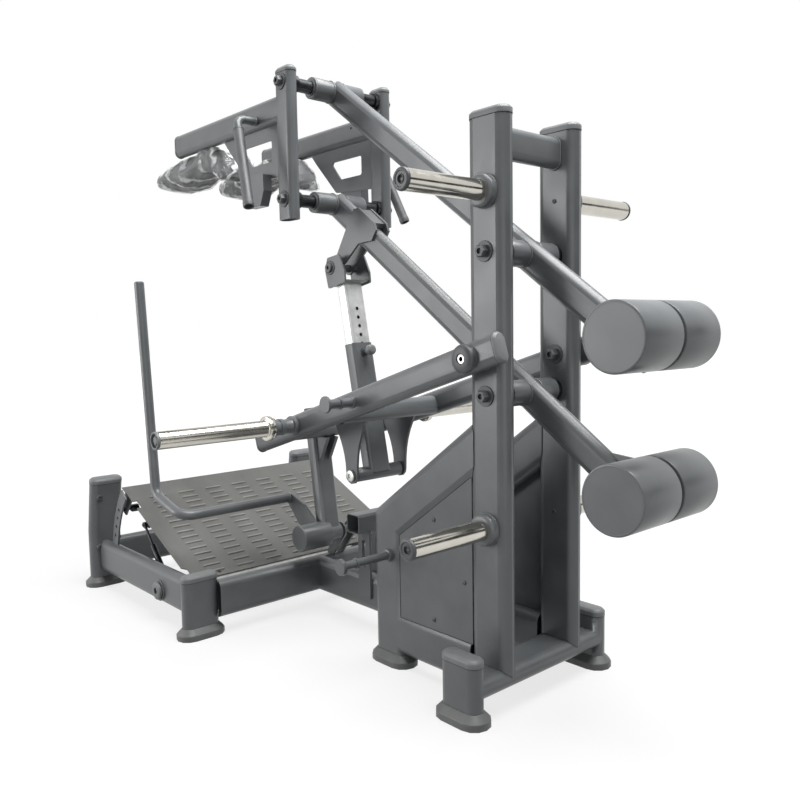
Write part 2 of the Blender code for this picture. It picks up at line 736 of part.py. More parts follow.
def build_spine(parent, finish):
    """Build the spine with its cross tie, the platform's front beam, stop pedestal and catch cheeks."""
    inner = UPRIGHT_X - FRAME_NARROW / 2
    tie = frame_tube(((-inner, FRONT_POST_Y, PLATFORM_Z), (inner, FRONT_POST_Y, PLATFORM_Z)), Y_AXIS)
    reach = PLATFORM_POST_X - FRAME_WIDE / 2 + 0.014
    corner_post = platform_front_post()
    beam = frame_tube(((-reach, FRONT_BEAM_Y, PLATFORM_Z), (reach, FRONT_BEAM_Y, PLATFORM_Z)), Y_AXIS)
    spine = frame_tube(((0, FRONT_POST_Y, PLATFORM_Z), (0, FRONT_BEAM_Y, PLATFORM_Z)), X_AXIS)
    spine_body = spine.body(against(tie, (0, FRONT_POST_Y, PLATFORM_Z), -WELD_IN),
                            against(beam, (0, FRONT_BEAM_Y, PLATFORM_Z), -WELD_IN))
    face = FRAME_NARROW / 2 - WELD_IN
    low = PLATFORM_Z - 0.015
    high = STOP_Z - STOP_TUBE / 2 + WELD_IN
    half = STOP_CHEEK / 2
    outline = ((STOP_Y - half, low), (STOP_Y + half, low), (STOP_Y + half, high), (STOP_Y - half, high))
    slot_low = PLATFORM_Z + FRAME_WIDE / 2 + 0.020
    slot_high = high - 0.030
    slot = rounded(((STOP_Y - 0.008, slot_low), (STOP_Y + 0.008, slot_low), (STOP_Y + 0.008, slot_high),
                    (STOP_Y - 0.008, slot_high)), 0.0075)
    cheek = plate(outline, face, face + 0.009, (slot,))
    stop = Tube(((-STOP_HALF, STOP_Y, STOP_Z), (STOP_HALF, STOP_Y, STOP_Z)), Y_AXIS, STOP_TUBE, STOP_TUBE,
                FRAME_WALL, 0.010)
    eye = 0.028
    ring = [(CATCH_Y + eye * cos(radians(a)), CATCH_Z + eye * sin(radians(a))) for a in range(-30, 151, 30)]
    base_z = PLATFORM_Z + FRAME_WIDE / 2 - 0.0045
    outline = [(FRONT_BEAM_Y - 0.018, base_z), (FRONT_BEAM_Y + 0.014, base_z)] + ring
    cheeks = [plate(outline, x - 0.008, x) for x in CATCH_CHEEKS]
    end = CATCH_CHEEKS[-1] - 0.008
    shaft = turned(((0, end - 0.009), (0.017, end - 0.009), (0.017, end + WELD_IN), (AXLE_R, end + WELD_IN),
                    (AXLE_R, CATCH_NEAR - 0.012), (0, CATCH_NEAR - 0.012)), (0, CATCH_Y, CATCH_Z), X_AXIS, 16)
    node("spine_frame", finish["paint"], parent,
         weld(spine_body, tie.body(square(GAP), square(GAP)),
              beam.body(against_twin(corner_post, centre=(-reach, 0, 0)),
                        against(corner_post, (reach, 0, 0))),
              *both(cheek), stop.body(), *cheeks, shaft,
              cuts=[vent(0, -0.8, PLATFORM_Z - FRAME_WIDE / 2)]))


def build_platform(parent, finish):
    """Build the platform's sides with their posts and index arcs, the rear beam and the feet."""
    foot_top = FOOT_HEIGHT + GAP
    half = FRAME_NARROW / 2
    front = platform_front_post()
    knee = Vector((PLATFORM_POST_X, PLATFORM_REAR_Y, REAR_POST_KNEE))
    lean = Vector((0, sin(REAR_POST_LEAN), cos(REAR_POST_LEAN)))
    rear = Tube(((PLATFORM_POST_X, PLATFORM_REAR_Y, foot_top), knee, knee + REAR_POST_UPPER * lean), X_AXIS,
                FRAME_NARROW, FRAME_WIDE, FRAME_WALL, half)
    side = frame_tube(((PLATFORM_SIDE_X, PLATFORM_FRONT_Y - half, PLATFORM_Z),
                       (PLATFORM_SIDE_X, PLATFORM_REAR_Y + half, PLATFORM_Z)), X_AXIS)
    side_top = PLATFORM_Z + FRAME_WIDE / 2 - 0.002 - TILT_Z
    inner = ARC_RADIUS - ARC_WIDTH / 2
    outer = ARC_RADIUS + ARC_WIDTH / 2
    highest = PLATE_TILT + radians(16)
    steps = 6
    outline = []
    for radius, order in ((inner, range(steps + 1)), (outer, range(steps, -1, -1))):
        lowest = atan2(side_top, sqrt(radius ** 2 - side_top ** 2))
        for i in order:
            angle = lowest + (highest - lowest) * i / steps
            outline.append((TILT_Y - radius * cos(angle), TILT_Z + radius * sin(angle)))
    holes = []
    for i in range(ARC_HOLES):
        angle = PIN_ANGLE - i * ARC_STEP
        centre = (TILT_Y - ARC_RADIUS * cos(angle), TILT_Z + ARC_RADIUS * sin(angle))
        holes.append(circle(centre, ARC_HOLE, 8))
    arc = plate(outline, ARC_X - ARC_PLATE / 2, ARC_X + ARC_PLATE / 2, holes)
    body = weld(side.body(square(-WELD_IN), square(-WELD_IN)), front.body(caps=(False, True)),
                rear.body(caps=(False, True)), arc,
                cuts=[vent(PLATFORM_SIDE_X, -1.3, PLATFORM_Z - FRAME_WIDE / 2)])
    pair("platform_side", finish["paint"], parent, body)
    back = frame_tube(((-PLATFORM_POST_X, PLATFORM_REAR_Y, PLATFORM_Z),
                       (PLATFORM_POST_X, PLATFORM_REAR_Y, PLATFORM_Z)), Y_AXIS)
    node("platform_rear_beam", finish["paint"], parent, back.body(against_twin(rear), against(rear)))
    pair("platform_front_foot", finish["rubber"], parent, foot_under(front))
    pair("platform_rear_foot", finish["rubber"], parent, foot_under(rear))
    stud_y, stud_z = GAS_LOW
    reach = PLATFORM_SIDE_X - half - GAP
    axle = rod(AXLE_R, -reach, reach, (0, TILT_Y, TILT_Z), steps=16)
    node("tilt_axle", finish["steel"], parent, axle)
    node("gas_spring_stud", finish["steel"], parent, rod(GAS_STUD_R, GAS_X - 0.010, reach, (0, stud_y, stud_z),
                                                         steps=12))


def horn(root, tip, y, z):
    """Return a horn from a root to a tip at +X: bar, moulded end cap and its screw's recess."""
    cap = 0.016
    lip = HORN_R + 0.0015
    return turned(((0, root), (HORN_R, root), (HORN_R, tip - cap), (lip, tip - cap), (lip, tip - 0.006),
                   (lip - 0.005, tip), (0.009, tip), (0.009, tip - 0.006), (0, tip - 0.006)),
                  (0, y, z), X_AXIS)


def build_storage_horns(parent, finish):
    """Build the four plate storage horns on the uprights and the levers' two shafts."""
    root = UPRIGHT_X + FRAME_NARROW / 2 + COLLAR_LENGTH + GAP
    for name, z in (("storage_horn_low", HORN_LOW_Z), ("storage_horn_high", HORN_HIGH_Z)):
        pair(name, finish["chrome"], parent, horn(root, HORN_TIP, 0, z))
    inner = UPRIGHT_X - FRAME_NARROW / 2 - GAP
    for name, z in (("fulcrum_shaft_low", LEVER_LOW_Z), ("fulcrum_shaft_high", LEVER_LOW_Z + LEVER_PITCH)):
        node(name, finish["steel"], parent, rod(FULCRUM_R, -inner, inner, (0, 0, z)))


# Levers

def slope_point(pivot_z, y, rise=0.0):
    """Return the place on a lever's centre line at a given y, raised square to the line."""
    run = y + rise * sin(LEVER_SLOPE)
    z = pivot_z - y * sin(LEVER_SLOPE) / cos(LEVER_SLOPE)
    return Vector((0, run, z + rise * cos(LEVER_SLOPE)))


def weight_centre(pivot_z):
    """Return the centre of a lever's counterweight."""
    y = WEIGHT_Y - WEIGHT_RISE * sin(LEVER_SLOPE)
    return slope_point(pivot_z, y, WEIGHT_RISE)


def lever_body(pivot_z):
    """Return a lever: tube, fulcrum hub, yoke hub and the gusset at its counterweight."""
    front = slope_point(pivot_z, YOKE_Y)
    weight = weight_centre(pivot_z)
    arm = arm_tube((front, slope_point(pivot_z, WEIGHT_Y)), X_AXIS)
    tube = arm.body(against_round(front, X_AXIS, HUB_R, -WELD_IN))
    seat = rod(WEIGHT_R + WELD_GAP, -ARM_NARROW, ARM_NARROW, weight, steps=WEIGHT_STEPS)
    bored = weld(tube, cuts=[rod(HUB_R - WELD_IN, -ARM_NARROW, ARM_NARROW, (0, 0, pivot_z)), seat])
    hub = sleeve(HUB_R, FULCRUM_R + RUNNING, -HUB_HALF, HUB_HALF, (0, 0, pivot_z))
    yoke_hub = sleeve(HUB_R, YOKE_SHAFT_R + RUNNING, -HUB_HALF, HUB_HALF, front)
    up = Vector((0, sin(LEVER_SLOPE), cos(LEVER_SLOPE)))
    along = Vector((0, cos(LEVER_SLOPE), -sin(LEVER_SLOPE)))
    corners = []
    for length, rise in ((0.052, -0.002), (0.0, -0.002), (0.0, 0.010), (0.0, 0.021), (0.0, 0.032)):
        height = ARM_WIDE / 2 + rise - WEIGHT_RISE
        reach = sqrt((WEIGHT_R + WELD_GAP) ** 2 - height ** 2) + 0.0005
        corner = weight + up * height - along * (reach + length)
        corners.append((corner.y, corner.z))
    gusset = plate(corners, -0.004, 0.004)
    return weld(bored, hub, yoke_hub, gusset)


def counterweight(pivot_z):
    """Return a counterweight: a hollow drum on a core, open at the groove round its middle."""
    centre = weight_centre(pivot_z)
    inside = WEIGHT_R - WEIGHT_WALL
    end = WEIGHT_HALF
    floor = end - WEIGHT_WALL
    lip = WEIGHT_GROOVE / 2
    half = [(WEIGHT_CORE, floor), (inside, floor), (inside, lip), (WEIGHT_R - 0.002, lip),
            (WEIGHT_R, lip + 0.002), (WEIGHT_R, end - 0.003), (WEIGHT_R - 0.003, end), (0, end)]
    profile = [(r, -d) for r, d in reversed(half)] + half
    return turned(profile, centre, X_AXIS, WEIGHT_STEPS)


def build_lever(name, pivot_z, parent, finish):
    """Build one lever and its counterweight."""
    node(name + "_lever", finish["paint"], parent, lever_body(pivot_z))
    node(name + "_counterweight", finish["paint"], parent, counterweight(pivot_z))


def build_strut_bracket(parent, finish):
    """Build the saddle over the lower lever, whose lugs below carry the strut's pin."""
    up = Vector((0, sin(LEVER_SLOPE), cos(LEVER_SLOPE)))
    along = Vector((0, cos(LEVER_SLOPE), -sin(LEVER_SLOPE)))
    base = slope_point(LEVER_LOW_Z, -0.640)
    inside = ARM_NARROW / 2 + GAP
    outside = inside + LUG_THICK
    tall = ARM_WIDE / 2

    def spot(run, rise):
        point = base + run * along + rise * up
        return (point.y, point.z)
    top_y, top_z = STRUT_TOP
    eye = 0.021
    ring = [(top_y + eye * cos(radians(a)), top_z + eye * sin(radians(a))) for a in range(-10, -191, -30)]
    outline = [spot(-0.058, tall + 0.004), spot(-0.040, tall + 0.020), spot(0.048, tall + 0.020),
               spot(0.070, tall + 0.006), spot(0.070, 0.010), spot(0.020, -0.030)] + ring + [spot(-0.058, -0.006)]
    cheek = plate(outline, inside, outside, (circle(STRUT_TOP, STRUT_PIN_R + 0.0005, 14),))
    bridge = plate((spot(-0.036, tall + GAP), spot(0.046, tall + GAP), spot(0.046, tall + 0.017),
                    spot(-0.036, tall + 0.017)), -inside - 0.002, inside + 0.002)
    node("strut_bracket", finish["paint"], parent, weld(bridge, *both(cheek)))


# Yoke

def build_yoke(parent, finish):
    """Build the yoke's two sides, their shafts, the handles and the shoulder pads."""
    low_z = LEVER_LOW_Z - YOKE_Y * sin(LEVER_SLOPE) / cos(LEVER_SLOPE)
    high_z = low_z + LEVER_PITCH
    post = arm_tube(((YOKE_X, YOKE_Y, low_z - YOKE_BELOW), (YOKE_X, YOKE_Y, high_z + YOKE_ABOVE)), X_AXIS)
    half = ARM_NARROW / 2
    shoulder = arm_tube(((YOKE_X, YOKE_Y, SHOULDER_TUBE_Z), (YOKE_X, SHOULDER_TUBE_REAR, SHOULDER_TUBE_Z)), X_AXIS)
    under = SHOULDER_TUBE_Z - ARM_WIDE / 2
    front = YOKE_Y - ARM_WIDE / 2 + 0.002
    outline = ((front, under + 0.002), (-1.158, under + 0.002), (-1.127, 1.554), (-1.012, 1.437), (front, 1.425))
    window = rounded(((-0.868, 1.545), (-1.040, 1.545), (-0.985, 1.480), (-0.868, 1.480)), 0.008)
    inner = SIDE_PLATE_X - SIDE_PLATE / 2
    side_plate = plate(rounded(outline, (0, 0, 0.004, 0.010, 0)), inner, inner + SIDE_PLATE, (window,))
    block = plate(rounded(((-0.990, 1.452), (-0.878, 1.442), (-0.876, 1.390), (-0.898, 1.345), (-0.975, 1.345),
                           (-0.992, 1.385)), 0.004), inner + SIDE_PLATE - WELD_IN, inner + SIDE_PLATE + 0.030)
    body = weld(post.body(caps=(False, True), height=0.014, edge=0.006),
                shoulder.body(against(post, (YOKE_X, YOKE_Y, SHOULDER_TUBE_Z), -WELD_IN), None,
                              caps=(False, True), height=0.008, edge=0.003),
                side_plate, block, cuts=[vent(YOKE_X - half, -0.905, 1.640, X_AXIS)])
    pair("yoke_side", finish["paint"], parent, body)
    reach = YOKE_X - half - GAP
    for name, z in (("yoke_shaft_low", low_z), ("yoke_shaft_high", high_z)):
        node(name, finish["dark"], parent, rod(YOKE_SHAFT_R, -reach, reach, (0, YOKE_Y, z)))
    handle = bent_bar(((YOKE_X + half + GAP, HANDLE_Y, HANDLE_Z), (HANDLE_X, HANDLE_Y, HANDLE_Z),
                       (0.314, -0.801, 1.322)), (HANDLE_R, GRIP_R), 0.028)
    pair("handle", finish["grip"], parent, handle)
    pair("shoulder_pad", finish["pad"], parent, pad_body())


def pad_body():
    """Return the shoulder pad at +X: an arch over the shoulder with a lobe before and behind."""
    top = SHOULDER_TUBE_Z - ARM_WIDE / 2 - GAP
    centre_line = ((-1.640, 1.512), (-1.560, 1.518), (-1.450, 1.522), (-1.370, 1.535), (-1.302, 1.548),
                   (-1.235, 1.538), (-1.185, 1.500), (-1.155, 1.462))
    depth = (0.030, 0.045, 0.050, 0.040, 0.0405, 0.042, 0.040, 0.022)
    upper = []
    lower = []
    points = [Vector(p) for p in centre_line]
    for i, (point, size) in enumerate(zip(points, depth)):
        before = points[max(i - 1, 0)]
        after = points[min(i + 1, len(points) - 1)]
        normal = Vector((before - after).orthogonal()).normalized()
        normal *= 1 if normal.y > 0 else -1
        high = point + normal * size
        upper.append(Vector((high.x, min(high.y, top))))
        lower.append(point - normal * size)
    ends = [points[-1] + Vector((0.018, -0.012)), points[0] - Vector((0.022, 0.0))]
    outline = upper + [ends[0]] + list(reversed(lower)) + [ends[1]]
    width = PAD_OUTER_X - PAD_INNER_X
    rings = []
    for share, draw in ((0, 0.16), (0.04, 0.06), (0.11, 0.0), (0.89, 0.0), (0.96, 0.06), (1, 0.16)):
        ring = []
        for i, point in enumerate(outline):
            near = points[min(range(len(points)), key=lambda k: (points[k] - point).length)]
            pulled = point + (near - point) * draw * 2
            ring.append(Vector((PAD_INNER_X + width * share, pulled.x, pulled.y)))
        rings.append(ring)
    return skin(rings)


# Load arm and strut

def load_spot(y, rise=0.0):
    """Return the (y, z) place on the load arm's centre line, raised square to it."""
    slope = sin(LOAD_ARM_SLOPE) / cos(LOAD_ARM_SLOPE)
    return (y - rise * sin(LOAD_ARM_SLOPE), LOAD_PIVOT_Z + slope * y + rise * cos(LOAD_ARM_SLOPE))


def load_across():
    """Return the direction square to the load arm, pointing up."""
    return Vector((0, -sin(LOAD_ARM_SLOPE), cos(LOAD_ARM_SLOPE)))


def load_along():
    """Return the direction along the load arm, towards the uprights."""
    return Vector((0, cos(LOAD_ARM_SLOPE), sin(LOAD_ARM_SLOPE)))


def build_load_arm(parent, finish):
    """Build the load arm: two side tubes, cross tubes, strut lugs, horns and band pegs."""
    arm = Tube(((LOAD_ARM_X, *load_spot(LOAD_ARM_FRONT)), (LOAD_ARM_X, *load_spot(LOAD_ARM_REAR))), X_AXIS,
               LOAD_ARM_WIDE, ARM_NARROW, ARM_WALL)
    half = ARM_NARROW / 2
    inner = LOAD_ARM_X - half
    outer = LOAD_ARM_X + half
    horn_y, horn_z = load_spot(LOAD_HORN_Y, 0.003)
    peg_y, peg_z = load_spot(BAND_PEG_Y, 0.004)
    bored = weld(arm.body(caps=(True, True), height=0.010),
                 cuts=[rod(LOAD_STUB_R + 0.0045, inner - 0.01, outer + 0.01, (0, 0, LOAD_PIVOT_Z))])
    bush = sleeve(LOAD_STUB_R + 0.006, LOAD_STUB_R + RUNNING, inner - 0.002, outer + 0.002, (0, 0, LOAD_PIVOT_Z))
    stub_end = outer + LOAD_STUB_LENGTH
    stub = rod(0.020, outer - WELD_IN, stub_end, (0, horn_y, horn_z))
    peg = turned(((0, outer - WELD_IN), (0.013, outer - WELD_IN), (0.013, outer + 0.040), (0.017, outer + 0.040),
                  (0.017, outer + 0.046), (0.013, outer + 0.046), (0.013, outer + 0.086),
                  (0.023, outer + 0.086), (0.023, outer + 0.094), (0, outer + 0.094)),
                 (0, peg_y, peg_z), X_AXIS, 12)
    pair("load_arm", finish["paint"], parent,
         weld(bored, bush, stub, peg, cuts=[vent(inner, *load_spot(-0.30), X_AXIS)]))
    rear = Vector((0, *load_spot(REAR_CROSS_Y, -0.008)))
    reach = X_AXIS * inner
    rear_tube = Tube((rear - reach, rear + reach), -load_along(), 0.060, ARM_NARROW, ARM_WALL)
    node("load_arm_rear_tube", finish["paint"], parent,
         weld(rear_tube.body(square(GAP), square(GAP)), *both(strut_lug(rear_tube, rear))))
    cross_y, cross_z = load_spot(FRONT_CROSS_Y)
    node("load_arm_front_bar", finish["paint"], parent,
         sleeve(FRONT_CROSS_R, FRONT_CROSS_R - 0.004, -inner + GAP, inner - GAP, (0, cross_y, cross_z)))
    y, z = STRUT_BOTTOM
    outside = STRUT_LUG_X + LUG_THICK + GAP
    node("strut_axle", finish["steel"], parent,
         turned(((0, -outside - 0.009), (0.016, -outside - 0.009), (0.018, -outside - 0.007), (0.018, -outside),
                 (STRUT_AXLE_R, -outside), (STRUT_AXLE_R, outside), (0.018, outside), (0.018, outside + 0.007),
                 (0.016, outside + 0.009), (0, outside + 0.009)), (0, y, z), X_AXIS, 14))
    flange = stub_end + GAP
    bar = horn(flange + 0.015, LOAD_HORN_TIP, horn_y, horn_z)
    disc = turned(((0, flange), (0.037, flange), (0.037, flange + 0.018), (0, flange + 0.018)),
                  (0, horn_y, horn_z), X_AXIS)
    pair("load_horn", finish["chrome"], parent, weld(disc, bar))
    return cross_y, cross_z


def strut_lug(rear_tube, seat):
    """Return the curved lug plate under the load arm's rear cross tube, at +X."""
    y, z = STRUT_BOTTOM
    eye = 0.026
    across = load_across()
    along = load_along()
    depth = rear_tube.wide / 2 - WELD_IN
    top_rear = seat - across * (depth - 0.012) + along * 0.014
    crown = seat + across * 0.012 - along * 0.014
    tip = seat - across * 0.020 - along * 0.145
    steps = 6
    rear_edge = []
    front_edge = []
    for i in range(steps + 1):
        share = i / steps
        rear_edge.append((top_rear.y + (y + eye - top_rear.y) * share - 0.016 * sin(pi * share),
                          top_rear.z + (z + 0.004 - top_rear.z) * share))
        front_edge.append((y - eye + (tip.y - y + eye) * share ** 1.6,
                           z + 0.004 + (tip.z - z - 0.004) * share ** 0.8))
    ring = [(y + eye * cos(radians(a)), z + eye * sin(radians(a))) for a in range(-25, -161, -35)]
    lip = tip + across * 0.012
    outline = rear_edge + ring + front_edge + [(lip.y, lip.z), (crown.y, crown.z)]
    return plate(outline, STRUT_LUG_X, STRUT_LUG_X + LUG_THICK, (circle((y, z), STRUT_AXLE_R + RUNNING, 14),))


def strut_axis():
    """Return the strut's lower pivot, its tube's direction and the height of the upper pivot on it."""
    low = Vector((0, *STRUT_BOTTOM))
    high = Vector((0, *STRUT_TOP))
    axis = (Vector((0, *STRUT_TUBE_TOP)) - low).normalized()
    return low, axis, (high - low).dot(axis)


def build_strut(parent, finish):
    """Build the telescopic strut between the lower lever and the load arm."""
    low, axis, length = strut_axis()
    facing = axis.cross(X_AXIS)
    facing *= 1 if facing.y > 0 else -1
    bore = STRUT_AXLE_R + STRUT_PLAY
    barrel_r = bore + 0.006
    barrel = sleeve(barrel_r, bore, -0.088, 0.088, low)
    outer_end = length - STRUT_OUTER_TOP
    outer = Tube((low, low + outer_end * axis), facing, STRUT_OUTER_WIDE, STRUT_OUTER_DEEP, STRUT_WALL,
                 STRUT_OUTER_CORNER)
    pin_at = low + (outer_end - 0.030) * axis
    face = STRUT_OUTER_DEEP / 2
    collar = rod(0.010, face - WELD_IN, face + 0.020, pin_at, facing, steps=16)
    hole = rod(STRUT_HOLE_R, 0.002, face + 0.03, pin_at, facing, steps=12)
    node("strut_outer_tube", finish["paint"], parent,
         weld(outer.body(against_round(low, X_AXIS, barrel_r, -WELD_IN)), barrel, collar, cuts=[hole]))
    fit = STRUT_WALL + 0.0006
    block_low = length - STRUT_HEAD
    inner = Tube((low + STRUT_INNER_START * axis, low + block_low * axis), facing, STRUT_OUTER_WIDE - 2 * fit,
                 STRUT_OUTER_DEEP - 2 * fit, STRUT_WALL, STRUT_OUTER_CORNER - fit)
    holes = [rod(STRUT_HOLE_R, 0.002, face, pin_at + i * STRUT_PITCH * axis, facing, steps=12)
             for i in range(-2, STRUT_HOLES - 2)]
    node("strut_inner_tube", finish["steel"], parent, weld(inner.body(), cuts=holes))

    half = CLEVIS_WIDE / 2
    wall = 0.006
    floor = block_low + GAP

    def spot(run, height):
        point = low + height * axis + run * facing
        return (point.y, point.z)
    cheek = plate(rounded((spot(-0.042, floor - 0.004), spot(0.046, floor - 0.004), spot(0.050, floor + 0.030),
                           spot(0.034, length + 0.030), spot(-0.026, length + 0.034),
                           spot(-0.046, floor + 0.056)), 0.006), half - wall, half)
    seat = plate((spot(-0.034, floor), spot(0.040, floor), spot(0.040, floor + wall), spot(-0.034, floor + wall)),
                 -half + wall - WELD_IN, half - wall + WELD_IN)
    end = half + 0.010
    pin = turned(((0, -end), (0.013, -end), (0.015, -end + 0.002), (0.015, -half + WELD_IN),
                  (STRUT_PIN_R, -half + WELD_IN), (STRUT_PIN_R, half - WELD_IN), (0.015, half - WELD_IN),
                  (0.015, end - 0.002), (0.013, end), (0.006, end), (0.006, end - 0.006), (0, end - 0.006)),
                 (0, *STRUT_TOP), X_AXIS, 16)
    node("strut_clevis", finish["paint"], parent, weld(seat, *both(cheek), pin))
    return pin_at, facing


def build_pop_pin(parent, finish, pin_at, facing):
    """Build the strut's spring pull pin: nose and knob."""
    face = STRUT_OUTER_DEEP / 2
    nose = face - 2 * STRUT_WALL - 0.0006
    pin = turned(((0, nose), (STRUT_HOLE_R - RUNNING, nose), (STRUT_HOLE_R - RUNNING, face + 0.020 + GAP),
                  (0.014, face + 0.020 + GAP), (0.016, face + 0.024), (0.016, face + 0.038),
                  (0.012, face + 0.044), (0, face + 0.044)), pin_at, facing, 16)
    node("strut_pop_pin", finish["grip"], parent, pin)


# Catch

def build_catch(parent, finish, cross_y, cross_z):
    """Build the catch: hub, leaning post, hooks under the front cross bar and release lever."""
    centre = Vector((0, CATCH_Y, CATCH_Z))
    bore = AXLE_R + RUNNING
    hub = turned(((bore, CATCH_FAR), (CATCH_NECK_R, CATCH_FAR), (CATCH_NECK_R, CATCH_STEP), (CATCH_R, CATCH_STEP),
                  (CATCH_R, CATCH_NEAR), (0, CATCH_NEAR), (0, CATCH_NEAR - 0.010), (bore, CATCH_NEAR - 0.010)),
                 centre, X_AXIS)
    lean = Vector((0, -sin(CATCH_LEAN), cos(CATCH_LEAN)))
    side = Vector((0, cos(CATCH_LEAN), sin(CATCH_LEAN)))
    bar = Vector((0, cross_y, cross_z))
    deep = CATCH_POST_DEEP / 2
    line = bar - side * (FRONT_CROSS_R + CATCH_CLEAR + deep)
    foot = line - lean * (line - centre).dot(lean)
    post = Tube((foot, foot + lean * CATCH_POST_TOP), -side, CATCH_POST_WIDE, CATCH_POST_DEEP, 0.004, 0.012)
    post_body = post.body(against_round(centre, X_AXIS, CATCH_NECK_R, -WELD_IN), None, caps=(False, True),
                          height=0.008, edge=0.003)
    seat_r = (bar - centre).length - FRONT_CROSS_R - GAP
    aim = atan2(cross_z - CATCH_Z, cross_y - CATCH_Y)
    face = foot + side * (deep - WELD_IN)
    reach = []
    for i in range(7):
        angle = aim + radians(2.0) - radians(6.5) * i / 6
        reach.append((CATCH_Y + seat_r * cos(angle), CATCH_Z + seat_r * sin(angle)))
    height = (Vector((0, *reach[0])) - face).dot(lean)
    high = face + lean * height
    low = face + lean * (height - 0.085)
    outline = [(high.y, high.z)] + [p for p in reach if p[0] > high.y + 0.001] + [(low.y, low.z)]
    hook = plate(outline, 0.012, 0.024)
    corners = ((LEVER_RUN_Y - 0.020, LEVER_RUN_Z + 0.014), (LEVER_RUN_Y + 0.013, LEVER_RUN_Z + 0.015),
               (CATCH_Y - 0.071, CATCH_Z + 0.093), (CATCH_Y - 0.004, CATCH_Z + CATCH_R - 0.003),
               (CATCH_Y - CATCH_R + 0.003, CATCH_Z + 0.002), (CATCH_Y - 0.104, CATCH_Z + 0.021),
               (LEVER_RUN_Y - 0.003, LEVER_RUN_Z - 0.023), (LEVER_RUN_Y - 0.022, LEVER_RUN_Z - 0.004))
    bracket = plate(rounded(corners, (0.003, 0.003, 0.01, 0, 0, 0.01, 0.003, 0.003)), LEVER_PLATE_X,
                    LEVER_PLATE_X + 0.008)
    back = foot - side * deep + lean * 0.10
    node("catch_post", finish["paint"], parent,
         weld(hub, post_body, *both(hook), bracket, cuts=[vent(0, back.y, back.z, side)]))
    grip_top = Vector((LEVER_BAR_X, -1.262, 1.121))
    knee = Vector((LEVER_BAR_X, -1.203, 0.415))
    corner = Vector((LEVER_BAR_X, LEVER_RUN_Y, LEVER_RUN_Z))
    inner = Vector((LEVER_PLATE_X + 0.008 + GAP, LEVER_RUN_Y, LEVER_RUN_Z))
    node("release_lever", finish["paint"], parent,
         bent_bar((grip_top, knee, corner, inner), (LEVER_BAR_R,), 0.045))


# Footplate

def plate_frame():
    """Return the tilt axle's place and the footplate's directions: rearward and square to it."""
    axle = Vector((0, TILT_Y, TILT_Z))
    back = Vector((0, -cos(PLATE_TILT), sin(PLATE_TILT)))
    normal = Vector((0, sin(PLATE_TILT), cos(PLATE_TILT)))
    return axle, back, normal


def louvred_sheet(outline, louvres, thick, plane, origin):
    """Return a sheet with raised louvres, each a ramp that is highest along one edge."""
    body = bmesh.new()

    def put(x, y, z):
        return body.verts.new(origin + plane @ Vector((x, y, z)))
    low = [put(x, y, thick) for x, y in outline]
    high = [put(x, y, 0) for x, y in outline]
    body.faces.new(low)
    edges = []
    count = len(outline)
    for i in range(count):
        j = (i + 1) % count
        body.faces.new((low[i], low[j], high[j], high[i]))
        edges.append(body.edges.get((high[i], high[j])))
    for x, y in louvres:
        half_l = LOUVRE_LENGTH / 2
        half_w = LOUVRE_WIDTH / 2
        corners = ((-1, -1, 1.0), (1, -1, 1.0), (1, 1, 0.12), (-1, 1, 0.12))
        base = [put(x + a * half_l, y + b * half_w, 0) for a, b, _ in corners]
        top = [put(x + a * (half_l - 0.002), y + b * (half_w - 0.0015), -LOUVRE_RISE * h) for a, b, h in corners]
        for i in range(4):
            j = (i + 1) % 4
            body.faces.new((base[i], base[j], top[j], top[i]))
            edges.append(body.edges.get((base[i], base[j])))
        body.faces.new(top)
    bmesh.ops.triangle_fill(body, use_beauty=True, use_dissolve=False, edges=edges)
    bmesh.ops.recalc_face_normals(body, faces=body.faces)
    return body


